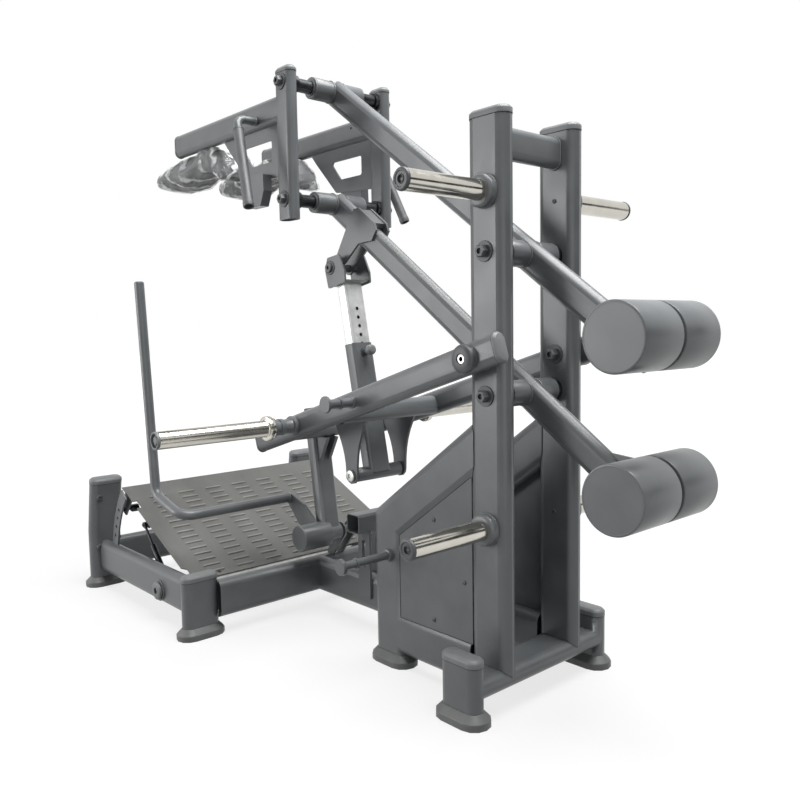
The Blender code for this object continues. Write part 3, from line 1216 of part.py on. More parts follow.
def build_footplate(parent, finish):
    """Build the louvred footplate and the frame under it: ribs, cross bars, ear and pin tab."""
    axle, back, normal = plate_frame()
    origin = axle + PLATE_RISE * normal
    plane = Matrix((X_AXIS, back, -normal)).transposed()
    depth = PLATE_FRONT + PLATE_REAR
    wide = PLATE_HALF_WIDTH
    notch = PLATE_REAR - NOTCH_BACK
    narrow = PLATFORM_SIDE_X - FRAME_NARROW / 2 - CORNER_CLEAR
    widens = CORNER_BACK - PLATE_FRONT
    outline = ((-wide, widens), (-narrow, widens - 0.012), (-narrow, -PLATE_FRONT), (narrow, -PLATE_FRONT),
               (narrow, widens - 0.012), (wide, widens), (wide, notch - 0.022), (wide - 0.018, notch - 0.022),
               (wide - 0.018, notch + 0.022), (wide, notch + 0.022), (wide, PLATE_REAR), (-wide, PLATE_REAR))
    row_pitch = (depth - 0.090) / (LOUVRE_ROWS - 1)
    column_pitch = (2 * wide - 0.130 - LOUVRE_LENGTH) / (LOUVRE_COLUMNS - 1)
    louvres = []
    for row in range(LOUVRE_ROWS):
        for column in range(LOUVRE_COLUMNS - row % 2):
            x = -wide + 0.065 + LOUVRE_LENGTH / 2 + (column + (row % 2) / 2) * column_pitch
            louvres.append((x, -PLATE_FRONT + 0.045 + row * row_pitch))
    node("footplate", finish["plate"], parent, louvred_sheet(outline, louvres, PLATE_THICK, plane, origin))

    under = PLATE_RISE - PLATE_THICK - GAP

    def spot(run, drop):
        point = axle + back * run + normal * (under - drop)
        return (point.y, point.z)
    eye = 0.030
    ring = [(TILT_Y + eye * cos(a), TILT_Z + eye * sin(a)) for a in
            (pi - PLATE_TILT + pi * i / 6 for i in range(7))]
    outline = [spot(-PLATE_FRONT + 0.020, 0), spot(PLATE_REAR - 0.030, 0), spot(PLATE_REAR - 0.030, 0.026)] + ring + \
        [spot(-PLATE_FRONT + 0.020, 0.026)]
    rib = plate(outline, RIB_X, RIB_X + 0.008, (circle((TILT_Y, TILT_Z), AXLE_R + 0.0006, 14),))
    bars = []
    for run in (-PLATE_FRONT + 0.045, PLATE_REAR - 0.060):
        bars.append(plate((spot(run - 0.012, STEP), spot(run + 0.012, STEP), spot(run + 0.012, 0.022),
                           spot(run - 0.012, 0.022)), -RIB_X - 0.004, RIB_X + 0.004))
    high = Vector((0, *GAS_HIGH))
    run = (high - axle).dot(back)
    drop = under - (high - axle).dot(normal)
    ear = plate((spot(run - 0.030, 0), spot(run + 0.030, 0), spot(run + 0.013, drop + 0.010),
                 spot(run - 0.013, drop + 0.010)), GAS_X - 0.016, GAS_X - 0.010)
    stud = rod(GAS_STUD_R, GAS_X - 0.012, GAS_X + 0.009, high, steps=12)
    pin = Vector((0, TILT_Y - ARC_RADIUS * cos(PIN_ANGLE), TILT_Z + ARC_RADIUS * sin(PIN_ANGLE)))
    run_pin = (pin - axle).dot(back)
    drop_pin = under - (pin - axle).dot(normal)
    tab = plate((spot(run_pin - 0.040, 0), spot(run_pin + 0.018, 0), spot(run_pin + 0.016, drop_pin + 0.016),
                 spot(run_pin - 0.016, drop_pin + 0.016)), PIN_TAB_X, PIN_TAB_X + 0.006,
                (circle((pin.y, pin.z), PIN_R + 0.0005, 12),))
    ties = []
    for at, reach in ((run - 0.008, GAS_X - 0.013), (run_pin - 0.026, PIN_TAB_X + 0.003)):
        ties.append(plate((spot(at - 0.011, STEP), spot(at + 0.011, STEP), spot(at + 0.011, 0.008),
                           spot(at - 0.011, 0.008)), RIB_X + 0.004, reach))
    node("footplate_frame", finish["paint"], parent,
         weld(bars[0], *both(rib), bars[1], *ties, ear, stud, tab))


def build_index_pin(parent, finish):
    """Build the footplate's index pin, drawn back so that its nose is just clear of the arc."""
    centre = (0, TILT_Y - ARC_RADIUS * cos(PIN_ANGLE), TILT_Z + ARC_RADIUS * sin(PIN_ANGLE))
    nose = ARC_X - ARC_PLATE / 2 - 0.0005
    inside = PIN_TAB_X - 0.016
    pin = turned(((0, inside - 0.030), (0.011, inside - 0.030), (0.014, inside - 0.026), (0.014, inside - 0.006),
                  (0.009, inside), (PIN_R, inside), (PIN_R, nose - 0.002), (PIN_R - 0.002, nose), (0, nose)),
                 centre, X_AXIS, 14)
    node("index_pin", finish["dark"], parent, pin)


def build_gas_spring(cylinder_parent, rod_parent, finish):
    """Build the gas spring: cylinder on the platform's side, rod under the footplate."""
    low = Vector((GAS_X, *GAS_LOW))
    high = Vector((GAS_X, *GAS_HIGH))
    axis = (high - low).normalized()
    length = (high - low).length
    mouth = length * 0.60
    seat = GAS_EYE_R - WELD_IN
    tube = turned(((0, seat), (GAS_R, seat), (GAS_R, mouth), (GAS_ROD_R + 0.001, mouth),
                   (GAS_ROD_R + 0.001, seat + 0.008), (0, seat + 0.008)), low, axis, 14)
    eye_low = sleeve(GAS_EYE_R, GAS_STUD_R + RUNNING, -0.006, 0.006, low, X_AXIS, 14)
    cut = rod(GAS_STUD_R + RUNNING + 0.0005, -0.02, 0.02, low, X_AXIS, steps=14)
    node("gas_spring_cylinder", finish["dark"], cylinder_parent, weld(weld(tube, cuts=[cut]), eye_low))
    piston = rod(GAS_ROD_R, mouth - GAS_INSERT, length - GAS_EYE_R + WELD_IN, low, axis, steps=12)
    eye_high = sleeve(GAS_EYE_R, GAS_STUD_R + GAS_PLAY, -0.006, 0.006, high, X_AXIS, 14)
    node("gas_spring_rod", finish["steel"], rod_parent, weld(piston, eye_high))


def main():
    """Build the machine."""
    clear_scene()
    finish = finishes()
    datum = axis_empty("machine_datum", None, 0, 0, 0)
    datum.location = (0, DATUM_Y, 0)
    upright = build_base(datum, finish)
    build_side_frames(datum, finish, upright)
    build_spine(datum, finish)
    build_platform(datum, finish)
    build_storage_horns(datum, finish)

    lower = axis_empty("lower_lever_axis", datum, 0, 0, LEVER_LOW_Z)
    upper = axis_empty("upper_lever_axis", datum, 0, 0, LEVER_LOW_Z + LEVER_PITCH)
    build_lever("lower", LEVER_LOW_Z, lower, finish)
    build_lever("upper", LEVER_LOW_Z + LEVER_PITCH, upper, finish)
    build_strut_bracket(lower, finish)
    yoke_z = LEVER_LOW_Z - YOKE_Y * sin(LEVER_SLOPE) / cos(LEVER_SLOPE)
    yoke = axis_empty("yoke_axis", lower, 0, YOKE_Y, yoke_z)
    build_yoke(yoke, finish)

    load = axis_empty("load_arm_axis", datum, 0, 0, LOAD_PIVOT_Z)
    cross_y, cross_z = build_load_arm(load, finish)
    strut = axis_empty("strut_axis", lower, 0, *STRUT_TOP)
    pin_at, facing = build_strut(strut, finish)
    build_pop_pin(strut, finish, pin_at, facing)

    catch = axis_empty("catch_axis", datum, 0, CATCH_Y, CATCH_Z)
    build_catch(catch, finish, cross_y, cross_z)
    tilt = axis_empty("tilt_axis", datum, 0, TILT_Y, TILT_Z)
    build_footplate(tilt, finish)
    build_index_pin(tilt, finish)
    cylinder = axis_empty("gas_spring_axis", datum, 0, *GAS_LOW)
    build_gas_spring(cylinder, cylinder, finish)


main()
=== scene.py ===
"""Looks of a plate-loaded standing lever squat machine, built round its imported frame.

Metres, +Z up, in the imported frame. The machine's own centre, between the two uprights,
lies at y DATUM_Y there. Every operator dresses one group of like pieces.
"""

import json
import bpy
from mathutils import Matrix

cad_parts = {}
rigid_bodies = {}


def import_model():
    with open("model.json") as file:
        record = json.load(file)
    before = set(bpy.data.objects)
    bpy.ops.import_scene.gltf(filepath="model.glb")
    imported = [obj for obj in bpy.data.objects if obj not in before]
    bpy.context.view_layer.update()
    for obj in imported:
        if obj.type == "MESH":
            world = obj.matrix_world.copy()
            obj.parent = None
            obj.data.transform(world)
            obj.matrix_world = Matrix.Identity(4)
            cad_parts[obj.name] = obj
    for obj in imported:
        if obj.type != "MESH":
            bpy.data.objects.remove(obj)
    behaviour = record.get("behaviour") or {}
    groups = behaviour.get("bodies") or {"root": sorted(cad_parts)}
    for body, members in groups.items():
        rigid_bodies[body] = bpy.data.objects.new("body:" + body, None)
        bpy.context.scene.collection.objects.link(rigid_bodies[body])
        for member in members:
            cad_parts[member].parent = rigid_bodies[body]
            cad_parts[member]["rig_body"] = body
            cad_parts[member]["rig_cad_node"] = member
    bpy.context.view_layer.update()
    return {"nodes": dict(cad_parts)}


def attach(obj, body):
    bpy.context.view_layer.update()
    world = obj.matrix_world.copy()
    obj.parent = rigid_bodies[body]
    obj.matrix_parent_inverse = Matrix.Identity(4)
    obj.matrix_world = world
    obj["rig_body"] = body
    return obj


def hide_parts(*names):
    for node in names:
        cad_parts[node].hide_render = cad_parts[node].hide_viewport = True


bl_info = {
    "name": "Lever Squat Machine Dresser",
    "version": (1, 0, 0),
    "blender": (4, 5, 0),
    "location": "View3D > Sidebar > Squat Machine",
    "description": "Dresses a standing lever squat machine with its finishes and fine parts",
    "category": "Object",
}

from math import cos, radians, sin, tan

import bpy
from bpy.props import FloatProperty, IntProperty, PointerProperty
from bpy.types import Operator, Panel, PropertyGroup
from mathutils import Matrix, Vector

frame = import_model()

DATUM_Y = 0.6545
X_AXIS = Vector((1, 0, 0))
Y_AXIS = Vector((0, 1, 0))
Z_AXIS = Vector((0, 0, 1))
MM = 0.001
SIDES = (("right", 1), ("left", -1))
MERGE = 0.003 * MM
FLOOR_GLOW = 0.76
GLOW_NEAR = 1.6
GLOW_FAR = 6.5

# Sizes shared with the frame, in the machine's own coordinates
UPRIGHT_X = 0.135
TUBE_HALF = 0.025
YOKE_X = 0.185
YOKE_HALF = 0.020
YOKE_Y = -0.777
LEVER_SLOPE = radians(36.04)
LEVER_LOW_Z = 0.786
LEVER_HIGH_Z = 1.1335
LOAD_SLOPE = radians(16.8)
LOAD_PIVOT_Z = 0.879
LOAD_ARM_X = 0.208
TILT_Y = -1.174
TILT_Z = 0.101
PLATE_TILT = radians(24.7)
PLATE_RISE = 0.112
HUB_RADIUS = 0.0325
PLATFORM_POST_X = 0.446
PLATFORM_REAR_Y = -1.700
REAR_POST_LEAN = radians(10.5)
FRAME_TUBE = (0.120, 0.050)
ARM_TUBE = (0.080, 0.040)
LOAD_TUBE = (0.075, 0.040)
UPRIGHT_TOP = 1.450
CROSS_TUBE_Z = 1.395
PANEL_FACE = 0.1536
LEVERS = (("lower_lever", "low", LEVER_LOW_Z), ("upper_lever", "high", LEVER_HIGH_Z))
STORAGE_HORNS = (("low", 0.457), ("high", 1.275))
STRUT_LOW = (0, -0.606, 0.506)
STRUT_TOP = (0, -0.754, 1.148)
STRUT_TUBE_END = (0, -0.727, 1.104)
PULL_PIN_DROP = 0.280
HANDLE_TOP = (-0.922, 1.608)
HANDLE_TIP = (0.314, -0.801, 1.322)
CATCH_PIVOT = (0, -0.864, 0.265)
RELEASE_X = 0.460
RELEASE_RUN = (-1.025, 0.370)
GAS_LOW = (0.395, -1.300, 0.100)
GAS_HIGH = (0.395, -1.450, 0.260)
PAD_CEILING = 1.5855
PAD_REAR_Y = DATUM_Y - 0.95


def at(x, y, z):
    """Return a place given in the machine's own coordinates."""
    return Vector((x, y + DATUM_Y, z))


def linear(hex_colour):
    """Turn an sRGB hex colour into linear red, green, blue and alpha."""
    channels = [int(hex_colour[i:i + 2], 16) / 255 for i in (0, 2, 4)]
    return (*[((c + 0.055) / 1.055) ** 2.4 if c > 0.04045 else c / 12.92 for c in channels], 1)


# Materials

def add(tree, kind, inputs=None, **settings):
    """Add a node with its settings; an input is a value or another node's output."""
    made = tree.nodes.new(kind)
    for name, value in settings.items():
        setattr(made, name, value)
    for name, value in (inputs or {}).items():
        if isinstance(value, bpy.types.NodeSocket):
            tree.links.new(value, made.inputs[name])
        else:
            made.inputs[name].default_value = value
    return made


def blank(name, metallic=0.0):
    """Return a new material, its node tree and its Principled shader."""
    made = bpy.data.materials.new(name)
    made.use_nodes = True
    shader = made.node_tree.nodes["Principled BSDF"]
    shader.inputs["Metallic"].default_value = metallic
    return made, made.node_tree, shader


def grain(tree, size, detail=3.0, roughness=0.5, stretch=(1, 1, 1)):
    """Return a noise whose features measure about size metres on the object."""
    place = add(tree, "ShaderNodeTexCoord")
    scaled = add(tree, "ShaderNodeMapping", {"Vector": place.outputs["Object"], "Scale": stretch})
    noise = add(tree, "ShaderNodeTexNoise", {"Vector": scaled.outputs["Vector"], "Scale": 1 / size,
                                             "Detail": detail, "Roughness": roughness})
    return noise.outputs["Fac"]


def spread(tree, value, low, high, from_low=0.3, from_high=0.7):
    """Return a value mapped to a range."""
    made = add(tree, "ShaderNodeMapRange", {"Value": value, "From Min": from_low, "From Max": from_high,
                                            "To Min": low, "To Max": high})
    return made.outputs["Result"]


def tint(tree, value, dark, light):
    """Return a colour between two hex colours."""
    made = add(tree, "ShaderNodeMix", data_type="RGBA")
    tree.links.new(value, made.inputs["Factor"])
    made.inputs["A"].default_value = linear(dark)
    made.inputs["B"].default_value = linear(light)
    return made.outputs["Result"]


def clouded(tree, cloud, dark, light):
    """Return a colour that drifts between two hex colours over a noise's middle range."""
    return tint(tree, spread(tree, cloud, 0, 1), dark, light)


def bump(tree, height, distance, strength=1.0, normal=None):
    """Return a normal raised by a height; distance is the relief in metres."""
    inputs = {"Height": height, "Distance": distance, "Strength": strength}
    if normal is not None:
        inputs["Normal"] = normal
    return add(tree, "ShaderNodeBump", inputs).outputs["Normal"]


def soft_edges(tree, radius):
    """Return a normal that rounds the edges."""
    return add(tree, "ShaderNodeBevel", {"Radius": radius}, samples=4).outputs["Normal"]


def surface(tree, shader, colour, roughness, normal):
    """Link a colour, a roughness and a normal to a shader."""
    for name, output in (("Base Color", colour), ("Roughness", roughness), ("Normal", normal)):
        tree.links.new(output, shader.inputs[name])


def powder_coat(name, dark, light, rough=0.34, relief=0.03 * MM):
    """Satin powder coat over steel: fine orange peel, a soft sheen and slightly worn edges."""
    made, tree, shader = blank(name)
    peel = grain(tree, 1.6 * MM, 2.0)
    cloud = grain(tree, 90 * MM, 3.0)
    surface(tree, shader, clouded(tree, cloud, dark, light), spread(tree, cloud, rough - 0.05, rough + 0.05),
            bump(tree, peel, relief, 0.5, soft_edges(tree, 1.2 * MM)))
    return made


def polished_chrome(name):
    """Hard chrome on a turned bar: a mirror with faint polishing lines round it and light smears."""
    made, tree, shader = blank(name, 1.0)
    lines = grain(tree, 0.9 * MM, 1.0, 0.5, (1, 0.04, 0.04))
    smear = grain(tree, 45 * MM, 4.0)
    surface(tree, shader, tint(tree, smear, "b4b1a8", "d2cfc6"), spread(tree, smear, 0.11, 0.22),
            bump(tree, lines, 0.01 * MM, 0.35))
    return made


def plated_steel(name, dark, light, rough=0.3, along=(0.05, 1, 1), metallic=1.0):
    """Plated or blackened steel: faint drawn lines along the piece and a slightly clouded sheen."""
    made, tree, shader = blank(name, metallic)
    lines = grain(tree, 1.2 * MM, 2.0, 0.6, along)
    cloud = grain(tree, 30 * MM, 3.0)
    surface(tree, shader, clouded(tree, cloud, dark, light), spread(tree, cloud, rough - 0.03, rough + 0.04),
            bump(tree, lines, 0.01 * MM, 0.3))
    return made


def moulded(name, dark, light, rough, grit, relief):
    """Moulded plastic or rubber: an even skin with a fine spark-eroded grain."""
    made, tree, shader = blank(name)
    fine = grain(tree, grit, 2.0, 0.6)
    cloud = grain(tree, 40 * MM, 2.0)
    surface(tree, shader, clouded(tree, cloud, dark, light), spread(tree, fine, rough - 0.06, rough + 0.06),
            bump(tree, fine, relief, 0.7, soft_edges(tree, 1.5 * MM)))
    return made


def wrinkle_coat(name, dark, light):
    """Textured powder coat on sheet steel: a coarse wrinkle, matt, brownish grey where it is scuffed."""
    made, tree, shader = blank(name, 0.2)
    wrinkle = grain(tree, 2.2 * MM, 4.0, 0.65)
    scuff = grain(tree, 120 * MM, 5.0, 0.6, (1, 0.4, 0.4))
    surface(tree, shader, clouded(tree, scuff, dark, light), spread(tree, wrinkle, 0.50, 0.68),
            bump(tree, wrinkle, 0.18 * MM, 0.6, soft_edges(tree, 1.0 * MM)))
    return made


def grip_rubber(name):
    """Soft grey rubber of a push-on grip: a fine matt grain that wear has polished in places."""
    made, tree, shader = blank(name)
    fine = grain(tree, 1.0 * MM, 2.0)
    worn = grain(tree, 35 * MM, 3.0)
    surface(tree, shader, clouded(tree, worn, "4e5052", "5c5e60"), spread(tree, worn, 0.36, 0.52),
            bump(tree, fine, 0.06 * MM, 0.6))
    return made


def pad_vinyl(name):
    """Black synthetic leather over foam: a pebbled grain with a soft shine on its crowns."""
    made, tree, shader = blank(name)
    place = add(tree, "ShaderNodeTexCoord")
    cells = add(tree, "ShaderNodeTexVoronoi", {"Vector": place.outputs["Object"], "Scale": 1 / (2.2 * MM)},
                feature="SMOOTH_F1")
    pebble = cells.outputs["Distance"]
    crease = grain(tree, 28 * MM, 4.0)
    surface(tree, shader, tint(tree, crease, "1d1e20", "323437"), spread(tree, pebble, 0.38, 0.58, 0, 0.8),
            bump(tree, pebble, 0.3 * MM, 0.5))
    return made


def clear_film(name):
    """Clear polythene film wrapped round a pad: long folds over a clear, glossy skin, opaque white along the
    streaks, partly the creased film's own clouding and partly painted highlight.
    """
    made, tree, shader = blank(name)
    place = add(tree, "ShaderNodeTexCoord")
    along = add(tree, "ShaderNodeMapping", {"Vector": place.outputs["Object"], "Scale": (0.8, 0.5, 1.1),
                                            "Rotation": (0.5, 0, 0)})
    wave = add(tree, "ShaderNodeTexWave", {"Vector": along.outputs["Vector"], "Scale": 9.0,
                                           "Distortion": 8.0, "Detail": 3.0, "Detail Scale": 1.0,
                                           "Detail Roughness": 0.6}, bands_direction="DIAGONAL")
    folds = wave.outputs["Fac"]
    both = add(tree, "ShaderNodeMath", {0: folds, 1: grain(tree, 50 * MM, 2.0)}, operation="MULTIPLY")
    # Where folds and noise meet, the film turns opaque white: partly the creased film's own clouding, partly
    # a painted highlight.
    tree.links.new(spread(tree, both.outputs[0], 0.20, 0.92, 0.34, 0.56), shader.inputs["Alpha"])
    tree.links.new(bump(tree, folds, 9 * MM), shader.inputs["Normal"])
    shader.inputs["Base Color"].default_value = linear("e9ebec")
    shader.inputs["Roughness"].default_value = 0.10
    return made


def seen_rays(tree):
    """Return 1 for the rays of the camera, of gloss and of transmission, and 0 for the rest."""
    path = add(tree, "ShaderNodeLightPath")
    seen = path.outputs["Is Camera Ray"]
    for name in ("Is Glossy Ray", "Is Transmission Ray"):
        larger = add(tree, "ShaderNodeMath", {0: seen, 1: path.outputs[name]}, operation="MAXIMUM")
        seen = larger.outputs[0]
    return seen


def seamless_paper(name, colour):
    """Seamless white paper: matt, with a white glow for the camera and for gloss that grows with distance."""
    made, tree, shader = blank(name)
    fibre = grain(tree, 12 * MM, 3.0)
    place = add(tree, "ShaderNodeTexCoord")
    away = add(tree, "ShaderNodeVectorMath", {0: place.outputs["Object"]}, operation="LENGTH")
    brighter = spread(tree, away.outputs["Value"], FLOOR_GLOW, 1.0, GLOW_NEAR, GLOW_FAR)
    glow = add(tree, "ShaderNodeMath", {0: seen_rays(tree), 1: brighter}, operation="MULTIPLY")
    tree.links.new(bump(tree, fibre, 0.1 * MM, 0.3), shader.inputs["Normal"])
    tree.links.new(glow.outputs[0], shader.inputs["Emission Strength"])
    shader.inputs["Emission Color"].default_value = (1, 1, 1, 1)
    shader.inputs["Base Color"].default_value = linear(colour)
    shader.inputs["Roughness"].default_value = 0.9
    return made


MATERIALS = {}


def make_materials():
    """Make every finish of the machine once."""
    MATERIALS.update({
        "paint": powder_coat("satin_powder_coat", "5a5d5f", "636668"),
        "cap": moulded("moulded_nylon_cap", "686b6c", "737576", 0.46, 0.8 * MM, 0.02 * MM),
        "plug": moulded("black_nylon_plug", "393b3d", "4a4c4e", 0.40, 0.8 * MM, 0.02 * MM),
        "rubber": moulded("moulded_rubber_foot", "5c5e5d", "686a68", 0.50, 1.0 * MM, 0.06 * MM),
        # Near-black for the dark joint lines, and also painted shade: the discs that stand for the
        # footplate's holes.
        "seam_and_shade": moulded("dark_joint_and_hole_shade", "1b1c1c", "242525", 0.7, 1.0 * MM, 0.04 * MM),
        "chrome": polished_chrome("hard_chrome_bar"),
        "steel": plated_steel("zinc_plated_steel", "a9aaa6", "cfd0cc", 0.3),
        "bolt": plated_steel("black_zinc_bolt", "424446", "545658", 0.48, metallic=0.35),
        "silver": plated_steel("satin_nickel_tube", "b9bbba", "d6d7d6", 0.36, (1, 1, 0.05), 0.8),
        "dark": plated_steel("black_oxide_steel", "2c2e2f", "444648", 0.34),
        "plate": wrinkle_coat("wrinkle_coated_sheet", "5c5c5a", "6a6a67"),
        # The louvres' coat is lighter than the sheet's: a painted highlight of their top-lit bars.
        "louvre": wrinkle_coat("louvre_coat_painted_highlight", "71716e", "888885"),
        "grip": grip_rubber("ribbed_grip_rubber"),
        "pad": pad_vinyl("pebbled_vinyl"),
        "film": clear_film("clear_wrap_film"),
        "weld": powder_coat("coated_weld_bead", "606365", "6c6f71", 0.36, 0.3 * MM),
    })


# Modelling helpers

def deselect():
    """Leave edit mode and clear the selection."""
    if bpy.context.object and bpy.context.object.mode != "OBJECT":
        bpy.ops.object.mode_set(mode="OBJECT")
    bpy.ops.object.select_all(action="DESELECT")


def only(piece):
    """Make a piece the only selected and the active object."""
    deselect()
    piece.select_set(True)
    bpy.context.view_layer.objects.active = piece
    return piece


def edit(piece):
    """Enter edit mode on a piece with all of it selected."""
    only(piece)
    bpy.ops.object.mode_set(mode="EDIT")
    bpy.ops.mesh.select_all(action="SELECT")


def leave():
    """Go back to object mode."""
    bpy.ops.object.mode_set(mode="OBJECT")


def copy_of(piece):
    """Return a copy of a piece, selected and active."""
    only(piece)
    bpy.ops.object.duplicate()
    return bpy.context.object


def modify(piece, kind, **settings):
    """Add a modifier with its settings and apply it."""
    step = piece.modifiers.new(kind.lower(), kind)
    for name, value in settings.items():
        setattr(step, name, value)
    only(piece)
    bpy.ops.object.modifier_apply(modifier=step.name)


def settle(piece):
    """Apply a piece's place and turn to its mesh, and keep its faces pointing out."""
    only(piece)
    bpy.ops.object.transform_apply(location=True, rotation=True, scale=True)
    edit(piece)
    bpy.ops.mesh.normals_make_consistent(inside=False)
    leave()
    return piece


def finish_piece(piece, name, body, finish, nodes=(), angle=35):
    """Name a piece, smooth it, give it its finish, and fix it to its body."""
    only(piece)
    piece.name = name
    piece.data.name = name
    bpy.ops.object.shade_smooth_by_angle(angle=radians(angle))
    piece.data.materials.clear()
    piece.data.materials.append(MATERIALS[finish])
    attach(piece, body)
    if nodes:
        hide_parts(*nodes)
    return piece


def twin(piece, name):
    """Return a mirror image of a settled piece across the machine's centre plane."""
    other = copy_of(piece)
    other.scale.x = -1
    settle(other)
    other.name = name
    return other


def join(pieces, name):
    """Join pieces into one object."""
    deselect()
    for piece in pieces:
        piece.select_set(True)
    bpy.context.view_layer.objects.active = pieces[0]
    bpy.ops.object.join()
    pieces[0].name = name
    return pieces[0]


def rings(start, *pairs):
    """Return a profile in metres from (radius, distance) pairs in millimetres, counted from start."""
    return tuple((radius * MM, start + far * MM) for radius, far in pairs)


def bar_form(radius, reach, chamfer=0.5 * MM, edge=0.5 * MM):
    """Return the profile of a bar that reaches as far both ways, with chamfered ends."""
    return ((radius - chamfer, -reach), (radius, edge - reach), (radius, reach - edge),
            (radius - chamfer, reach))


def raised(profile, steps):
    """Raise a solid from a disc, extruded and widened ring by ring; profile is (radius, height) pairs."""
    deselect()
    radius, reached = profile[0]
    bpy.ops.mesh.primitive_circle_add(vertices=steps, radius=radius, fill_type="NGON",
                                      location=(0, 0, reached))
    piece = bpy.context.object
    bpy.ops.object.transform_apply(location=True)
    edit(piece)
    for wide, far in profile[1:]:
        bpy.ops.mesh.extrude_region_move(TRANSFORM_OT_translate={"value": (0, 0, far - reached)})
        grow = wide / radius
        bpy.ops.transform.resize(value=(grow, grow, 1), center_override=(0, 0, far))
        radius, reached = wide, far
    leave()
    return piece


def both_sides(piece, name):
    """Join a settled piece with its mirror image."""
    return join([piece, twin(piece, name + "_twin")], name)


def turned(profile, centre, axis=X_AXIS, steps=48):
    """Turn a solid along an axis; both ends are flat discs."""
    piece = raised(profile, steps)
    piece.rotation_mode = "QUATERNION"
    piece.rotation_quaternion = Z_AXIS.rotation_difference(Vector(axis))
    piece.location = centre
    return settle(piece)


def stadium(wide, narrow, profile, centre, axis, across, steps=48):
    """Raise a solid of flat-sided oval outline; profile holds (outward, distance) pairs."""
    piece = raised([(narrow / 2 + outward, far) for outward, far in profile], steps)
    for point in piece.data.vertices:
        if abs(point.co.x) > 0.00001:
            point.co.x += (wide - narrow) / 2 * (1 if point.co.x > 0 else -1)
    along = Vector(axis).normalized()
    long_way = Vector(across).normalized()
    piece.matrix_world = Matrix((long_way, along.cross(long_way), along)).transposed().to_4x4()
    piece.location = centre
    return settle(piece)


def cad_copy(node):
    """Return a free copy of a CAD node with its doubled points merged."""
    piece = copy_of(frame["nodes"][node])
    bpy.ops.object.parent_clear(type="CLEAR_KEEP_TRANSFORM")
    edit(piece)
    bpy.ops.mesh.remove_doubles(threshold=MERGE)
    leave()
    return piece


def refined(node, body, finish, soften=0.0):
    """Dress a CAD node: a merged copy with even shading and, where it can take them, softened edges."""
    piece = cad_copy(node)
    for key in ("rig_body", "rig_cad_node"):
        if key in piece:
            del piece[key]
    edit(piece)
    bpy.ops.mesh.dissolve_limited(angle_limit=radians(0.4), use_dissolve_boundaries=False)
    leave()
    if soften:
        modify(piece, "BEVEL", width=soften, segments=2, limit_method="ANGLE", angle_limit=radians(40))
    finish_piece(piece, node + "_fine", body, finish, (node,))
    modify(piece, "WEIGHTED_NORMAL", keep_sharp=True)
    return piece


def round_group(name, body, finish, items, nodes=(), paired=False, steps=48):
    """Turn several pieces and join them; paired adds their mirror images."""
    pieces = [turned(profile, at(*place), axis, steps) for profile, place, axis in items]
    made = join(pieces, name)
    if paired:
        made = both_sides(made, name)
    return finish_piece(made, name, body, finish, nodes)


def round_pair(name, body, finish, place, *profiles, steps=48):
    """Turn pieces on one axis across the machine, on both of its sides, as one piece."""
    items = [(profile, place, X_AXIS) for profile in profiles]
    return round_group(name, body, finish, items, paired=True, steps=steps)


def lever_front(pivot):
    """Return the height of a lever's front pivot; pivot is its fulcrum's height."""
    return pivot - YOKE_Y * tan(LEVER_SLOPE)


def hex_bolt(place, outward, washer, across, head):
    """Make a bolt: a chamfered washer and a hexagon head with a round recess, facing outward."""
    thick = washer * 0.14
    top = thick + head
    lip = washer - 0.0008
    face = turned(((lip, 0), (washer, 0.0008), (washer, thick - 0.0008), (lip, thick)), place, outward)
    form = ((across, thick - 0.0003), (across, top - across * 0.16), (across * 0.88, top),
            (across * 0.48, top), (across * 0.42, top - head * 0.35))
    return join([face, turned(form, place, outward, 6)], "bolt")


def dome_screw(place, outward, radius, height):
    """Make a small round-headed screw with a recess."""
    form = ((radius, 0), (radius, height * 0.35), (radius * 0.86, height * 0.8), (radius * 0.6, height),
            (radius * 0.32, height), (radius * 0.28, height * 0.5))
    return turned(form, place, outward, 20)


def fasteners(name, body, finish, pieces):
    """Join bolts or screws, with their mirror images, into one piece."""
    return finish_piece(both_sides(join(pieces, name), name), name, body, finish)


def bent_rod(route, radius, bend, steps=32, bend_steps=10, ends=0.003):
    """Draw a round bar along a route: extruded along each run and spun round each bend."""
    points = [Vector(p) for p in route]
    heading = (points[1] - points[0]).normalized()
    deselect()
    bpy.ops.mesh.primitive_circle_add(vertices=steps, radius=radius - ends, fill_type="NOTHING")
    piece = bpy.context.object
    piece.rotation_mode = "QUATERNION"
    piece.rotation_quaternion = Z_AXIS.rotation_difference(heading)
    piece.location = points[0]
    bpy.ops.object.transform_apply(location=True, rotation=True, scale=True)
    edit(piece)
    here = extrude_ring(points[0], points[0] + heading * ends, radius / (radius - ends))
    for corner, beyond in zip(points[1:], points[2:]):
        ahead = (beyond - corner).normalized()
        turn = heading.angle(ahead)
        cut = bend * tan(turn / 2)
        here = extrude_ring(here, corner - heading * cut)
        axis = heading.cross(ahead).normalized()
        bpy.ops.mesh.spin(steps=bend_steps, angle=-turn, center=here + axis.cross(heading) * bend, axis=axis)
        here = corner + ahead * cut
        if (ring_centre(piece) - here).length > 0.001:
            raise RuntimeError("the bend at " + str(tuple(corner)) + " ends away from the route")
        heading = ahead
    here = extrude_ring(here, points[-1] - heading * ends)
    extrude_ring(here, points[-1], (radius - ends) / radius)
    bpy.ops.mesh.select_all(action="SELECT")
    bpy.ops.mesh.remove_doubles(threshold=0.00001)
    bpy.ops.mesh.fill_holes(sides=0)
    leave()
    return settle(piece)


def ring_centre(piece):
    """Return the centre of the selected points of the piece being edited."""
    piece.update_from_editmode()
    chosen = [point.co for point in piece.data.vertices if point.select]
    return sum(chosen, Vector()) / len(chosen)


